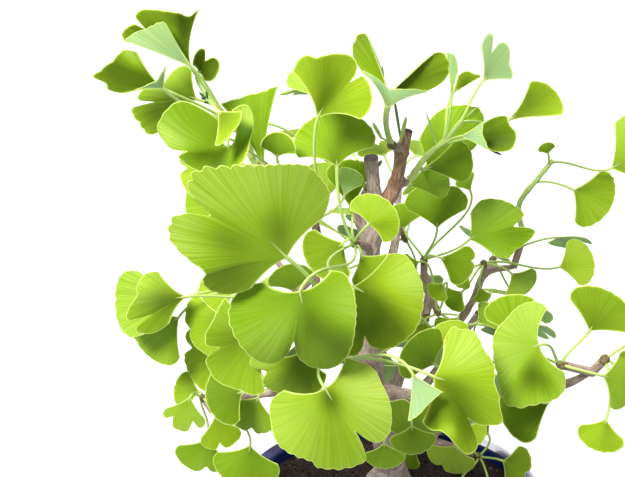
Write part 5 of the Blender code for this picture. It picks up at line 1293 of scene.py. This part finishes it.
def make_soil(finish):
    """Soil that fills the pot: a heaped surface roughened by waves, strewn with crumbs. A crumb is
    a twelve-cornered ball, stretched and turned at random, half sunk in the surface."""
    rng = np.random.default_rng(LOOK_SEED)
    gap, top = REST_GAP / MM, SOIL_EDGE / MM
    sections = sorted((height, inset) for inset, height in POT_INSIDE)
    wall = [(inset + gap, height) for height, inset in sections if height < top]
    wall[0] = (wall[0][0], wall[0][1] + gap)
    wall.append((float(np.interp(top, *zip(*sections))) + gap, top))
    rings = lofted(wall, SOIL_SIDES)
    edge = rings[-1]
    relief = waves_of(rng, *RELIEF_WAVES)
    for share in np.linspace(1, LAST_RING, SOIL_RINGS)[1:]:
        ring = edge * (share, share, 1)
        heap = SOIL_HEAP * (1 - share ** 2)
        ring[:, 2] += heap + RELIEF_HEIGHT * rough(relief, ring[:, 0], ring[:, 1])
        rings.append(ring)
    corners, triangles = ball_template()
    where = np.sqrt(rng.uniform(*CRUMB_SPREAD, CRUMBS))
    way = rng.uniform(0, TURN, CRUMBS)
    middle = np.stack((edge[0, 0] * where * np.cos(way), CRUMB_OVAL * RIM_HALF[1] * where * np.sin(way),
                       SOIL_EDGE + SOIL_HEAP * (1 - where ** 2)), axis=1)
    size = rng.uniform(*CRUMB_SIZE, (CRUMBS, 1, 3)) * rng.uniform(0.4, 1, (CRUMBS, 1, 1)) ** 1.5 * MM
    turns = random_turns(rng, CRUMBS)
    crumbs = np.einsum("nij,nkj->nki", turns, corners[None] * size) + middle[:, None, :]
    faces = triangles[None] + BALL_CORNERS * np.arange(CRUMBS)[:, None, None]
    tint = np.repeat(rng.uniform(0, 1, CRUMBS) ** 1.6, BALL_CORNERS)
    faces = faces.reshape(-1, 3).tolist()
    strewn = part_of(crumbs.reshape(-1, 3), np.zeros((0, 4), int), faces, tint=tint)
    parts = [ring_part(rings, tint=SOIL_TINT), strewn]
    assemble("soil_with_crumbs", parts, [finish], "soil")


def linear(code):
    """A colour written as sRGB hex, as linear light."""
    channels = np.array([int(code[k:k + 2], 16) for k in (1, 3, 5)]) / 255
    light = np.where(channels <= 0.04045, channels / 12.92, ((channels + 0.055) / 1.055) ** 2.4)
    return (*light, 1.0)


def add(tree, kind, settings=(), out=0, **links):
    """Adds a node, sets its properties, fills its inputs by name or by number from sockets or
    values, and gives its output."""
    made = tree.nodes.new("ShaderNode" + kind)
    for key, value in dict(settings).items():
        setattr(made, key, value)
    for name, value in links.items():
        socket = made.inputs[int(name[1:]) if name[1:].isdigit() else name.replace("_", " ")]
        if isinstance(value, bpy.types.NodeSocket):
            tree.links.new(value, socket)
        else:
            socket.default_value = value
    return made.outputs[out]


def painted(tree, colour, *coats):
    """A colour with coats over it. Each coat is (value, low, high, most, colour): there is none of
    it where its value is low, and most is its share where the value is high."""
    for value, low, high, most, over in coats:
        share = add(tree, "MapRange", i0=value, i1=low, i2=high, i4=most)
        under, over = (linear(hue) if isinstance(hue, str) else hue for hue in (colour, over))
        colour = add(tree, "Mix", {"data_type": "RGBA"}, 2, i0=share, i6=under, i7=over)
    return colour


def new_material(name, **shader_values):
    """A material whose shader has the given constants, with its node tree."""
    made = bpy.data.materials.new(name)
    made.use_nodes = True
    shader = made.node_tree.nodes["Principled BSDF"]
    for key, value in shader_values.items():
        shader.inputs[key.replace("_", " ")].default_value = value
    return made, made.node_tree


def finished(made, colour, relief, strength, height, **links):
    """The material with its colour and a fine relief, at most height in mm."""
    tree = made.node_tree
    links["Normal"] = add(tree, "Bump", Height=relief, Strength=strength, Distance=height * MM)
    links["Base Color"] = colour
    for name, socket in links.items():
        tree.links.new(socket, tree.nodes["Principled BSDF"].inputs[name])
    return made


def leaf_blade():
    """Fresh ginkgo blade: waxy and even, lit through, with fine veins that fan out from the stalk
    about a millimetre apart, a pale thickened margin, and a paler, bluer underside."""
    made, tree = new_material("ginkgo_blade", Roughness=0.5, IOR=1.4, Specular_IOR_Level=0.16,
                              Subsurface_Weight=0.7, Subsurface_Scale=0.9 * MM,
                              Subsurface_Radius=(0.95, 1.0, 0.1))
    fan = add(tree, "UVMap", {"uv_map": "Fan"})
    fine = add(tree, "Mapping", Vector=fan, Scale=(1.5, 0.01, 1))
    broad = add(tree, "Mapping", Vector=fan, Scale=(0.22, 0.02, 1))
    veins = add(tree, "TexNoise", Vector=fine, Scale=1.0)
    streaks = add(tree, "TexNoise", Vector=broad, Scale=1.0)
    place_on = add(tree, "TexCoord", out="Object")
    clouds = add(tree, "TexNoise", Vector=place_on, Scale=45.0, Roughness=0.55)
    tint, underside, margin, shade = (add(tree, "Attribute", {"attribute_name": name}, "Fac")
                                      for name in ("tint", "underside", "margin", "shade"))
    under = painted(tree, "#A2C888", (veins, 0.3, 0.7, 1.0, "#BCDCA6"))
    # pale is the colour of painted light, laid where the shade value is below 0.
    pale = painted(tree, "#BCDA50", (veins, 0.34, 0.66, 1.0, "#D8F084"))
    colour = painted(tree, "#8EB010",
                     (veins, 0.34, 0.66, 1.0, "#AECE3C"),
                     (streaks, 0.35, 0.7, 0.4, "#8CB00C"),
                     (clouds, 0.35, 0.75, 0.35, "#B4D83C"),
                     (tint, 0.5, 1.0, 0.4, "#7CB010"),
                     (tint, 0.5, 0.0, 0.35, "#C0D818"),
                     (underside, 0.0, 1.0, 1.0, under),
                     (margin, 0.55, 0.2, 0.9, "#E8FA90"),
                     # Painted shade in deep olive where the shade value is above 0, and painted light
                     # where it is below.
                     (shade, 0.0, 1.0, 0.9, "#506A00"),
                     (shade, 0.0, -1.0, 0.9, pale))
    return finished(made, colour, veins, 0.5, 0.3)


def leaf_stalk():
    """Leaf stalks and green shoots: smooth, pale and faintly striped lengthwise. The shade darkens a
    bud."""
    made, tree = new_material("ginkgo_stalk", Roughness=0.38, IOR=1.42, Subsurface_Weight=0.5,
                              Subsurface_Scale=1.2 * MM, Subsurface_Radius=(0.8, 1.0, 0.15))
    fan = add(tree, "UVMap", {"uv_map": "Fan"})
    stretched = add(tree, "Mapping", Vector=fan, Scale=(1.6, 0.02, 1))
    stripes = add(tree, "TexNoise", Vector=stretched, Scale=1.0, Roughness=0.55)
    shade = add(tree, "Attribute", {"attribute_name": "shade"}, "Fac")
    colour = painted(tree, "#B4DA5C",
                     (stripes, 0.3, 0.7, 1.0, "#E2F4A4"),
                     (shade, 0.0, 1.0, 1.0, "#2C6430"))
    return finished(made, colour, stripes, 0.3, 0.3)


def spur_bark():
    """The bark of short spurs: ringed, dull brown with a green-grey bloom."""
    made, tree = new_material("spur_bark", Roughness=0.8)
    place_on = add(tree, "TexCoord", out="Object")
    spots = add(tree, "TexNoise", Vector=place_on, Scale=900.0, Detail=3.0, Roughness=0.55)
    colour = painted(tree, "#5A4A30",
                     (spots, 0.3, 0.54, 1.0, "#86784E"),
                     (spots, 0.54, 0.7, 1.0, "#9AA05A"))
    return finished(made, colour, spots, 0.6, 0.3)


def old_bark():
    """Ginkgo bark: grey-brown and furrowed lengthwise where old, red-brown and smoother where
    young, with pale specks. The tint is the wood's youth, and shade darkens a sawn end."""
    made, tree = new_material("bark", Roughness=0.78)
    fan = add(tree, "UVMap", {"uv_map": "Fan"})
    place_on = add(tree, "TexCoord", out="Object")
    lengthwise = add(tree, "Mapping", Vector=fan, Scale=(0.9, 0.16, 1))
    crosswise = add(tree, "Mapping", Vector=fan, Scale=(0.1, 0.7, 1))
    furrows = add(tree, "TexNoise", Vector=lengthwise, Scale=1.0, Detail=6.0, Roughness=0.65)
    rings = add(tree, "TexNoise", Vector=crosswise, Scale=1.0, Detail=3.0, Roughness=0.6)
    specks = add(tree, "TexNoise", Vector=place_on, Scale=700.0, Detail=4.0, Roughness=0.7)
    tint, shade = (add(tree, "Attribute", {"attribute_name": name}, "Fac")
                   for name in ("tint", "shade"))
    young = painted(tree, "#6A4634",
                    (furrows, 0.3, 0.5, 1.0, "#B07E5E"),
                    (furrows, 0.5, 0.7, 1.0, "#DCBAAA"))
    colour = painted(tree, "#7A6C66",
                     (furrows, 0.3, 0.489, 1.0, "#C2B0AA"),
                     (furrows, 0.489, 0.72, 1.0, "#EADCD8"),
                     (tint, 0.0, 1.0, 1.0, young),
                     (rings, 0.6, 0.75, 0.35, "#5A4640"),
                     (specks, 0.62, 0.72, 0.5, "#D8CCC2"),
                     (shade, 0.0, 1.0, 1.0, "#1C1614"))
    relief = add(tree, "Math", {"operation": "ADD"}, i0=furrows, i1=specks)
    return finished(made, colour, relief, 0.8, 0.6)


def glaze():
    """Cobalt glaze on stoneware: deep, glassy and a little uneven, thin and brown at the rim's edge,
    with bare clay under the foot."""
    made, tree = new_material("glazed_stoneware", IOR=1.52, Coat_Weight=0.6, Coat_Roughness=0.06)
    place_on = add(tree, "TexCoord", out="Object")
    height = add(tree, "SeparateXYZ", out="Z", Vector=place_on)
    low = add(tree, "Mapping", Vector=place_on, Scale=(1, 1, 0.3))
    flow = add(tree, "TexNoise", Vector=low, Scale=60.0, Detail=4.0, Roughness=0.6)
    spots = add(tree, "TexNoise", Vector=place_on, Scale=700.0, Roughness=0.55)
    bare = add(tree, "MapRange", i0=height, i1=4.2 * MM, i2=3.4 * MM)
    colour = painted(tree, "#101A4E",
                     (flow, 0.3, 0.531, 1.0, "#1C2C72"),
                     (flow, 0.531, 0.72, 1.0, "#34509E"),
                     (spots, 0.66, 0.74, 0.6, "#0A1030"),
                     (height, 61.2 * MM, 61.8 * MM, 0.2, "#7A5A40"),
                     (bare, 0.0, 1.0, 1.0, "#8A5A3C"))
    roughness = add(tree, "MapRange", i0=bare, i3=0.14, i4=0.8)
    return finished(made, colour, flow, 0.12, 0.8, Roughness=roughness)


def soil_finish():
    """Damp potting soil: dark brown crumbs of mixed size, some paler grit."""
    made, tree = new_material("potting_soil", Roughness=0.92)
    place_on = add(tree, "TexCoord", out="Object")
    grain = add(tree, "TexNoise", Vector=place_on, Scale=900.0, Detail=4.0, Roughness=0.7)
    tint = add(tree, "Attribute", {"attribute_name": "tint"}, "Fac")
    colour = painted(tree, "#1C1210",
                     (tint, 0.0, 0.6, 1.0, "#3A2620"),
                     (tint, 0.6, 0.9, 1.0, "#5A4234"),
                     (tint, 0.9, 1.0, 1.0, "#8C7866"),
                     (grain, 0.35, 0.7, 0.6, "#140C0A"))
    return finished(made, colour, grain, 0.8, 0.6)


def screen_plastic():
    """Moulded polypropylene mesh: dull black with a fine grain."""
    made, tree = new_material("screen_plastic", Roughness=0.6)
    place_on = add(tree, "TexCoord", out="Object")
    grain = add(tree, "TexNoise", Vector=place_on, Scale=2000.0, Roughness=0.55)
    return finished(made, painted(tree, "#1A1A1A", (grain, 0.3, 0.7, 1.0, "#2A2A2A")), grain, 0.3, 0.2)


def make_camera():
    """The viewer's camera, with the picture's own slope per unit."""
    camera = bpy.data.cameras.new("camera")
    camera.sensor_width = SENSOR
    camera.lens = SENSOR * SIGHT / PICTURE_WIDTH
    thing = put("camera", camera)
    thing.location = EYE
    thing.rotation_euler = (math.pi / 2 - PITCH, 0, 0)
    bpy.context.scene.camera = thing


def make_floor():
    """A plain pale floor, wide enough to fill every view. Its own light doesn't reach the leaves, as
    the room's light is set by the world."""
    bpy.ops.mesh.primitive_plane_add(size=FLOOR_SIZE, location=(0, 0, 0))
    floor = bpy.context.object
    floor.name = "studio_floor"
    paper, tree = new_material("matt_paper", Roughness=0.9, Base_Color=linear(FLOOR_COLOUR),
                               Specular_IOR_Level=0.0, Emission_Color=linear("#FFFFFF"),
                               Emission_Strength=FLOOR_GLOW)
    floor.data.materials.append(paper)
    floor.visible_diffuse = False


def make_lights():
    """A large soft light above, one behind, and a pale room that is dimmer below."""
    for name, (where, size, power, colour) in LIGHTS.items():
        light = bpy.data.lights.new(name, "AREA")
        light.shape = "DISK"
        light.size = size
        light.energy = power
        light.color = linear(colour)[:3]
        aim = unit(AIM - np.array(where))
        side = unit(np.cross(aim, UPRIGHT))
        turn = Matrix(np.column_stack((side, np.cross(side, aim), -aim)).tolist()).to_4x4()
        turn.translation = where
        put(name, light).matrix_world = turn
    world = bpy.data.worlds.new("studio")
    bpy.context.scene.world = world
    world.use_nodes = True
    tree = world.node_tree
    height = add(tree, "SeparateXYZ", out="Z", Vector=add(tree, "TexCoord", out="Generated"))
    sky, ground = ((*np.array(linear(code)[:3]) * strength, 1) for code, strength in (SKY, GROUND))
    colour = painted(tree, ground, (height, *HORIZON, 1.0, sky))
    tree.links.new(colour, tree.nodes["Background"].inputs["Color"])


bpy.context.scene.view_settings.view_transform = "Standard"
make_camera()
make_floor()
make_lights()
grown = grow()
make_wood(grown, old_bark())
make_sprays(grown, [leaf_blade(), leaf_stalk(), spur_bark()])
make_pot(glaze())
make_soil(soil_finish())
mesh_plastic = screen_plastic()
for screen in ("drain_screen_left", "drain_screen_right"):
    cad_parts[screen].data.materials.clear()
    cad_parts[screen].data.materials.append(mesh_plastic)
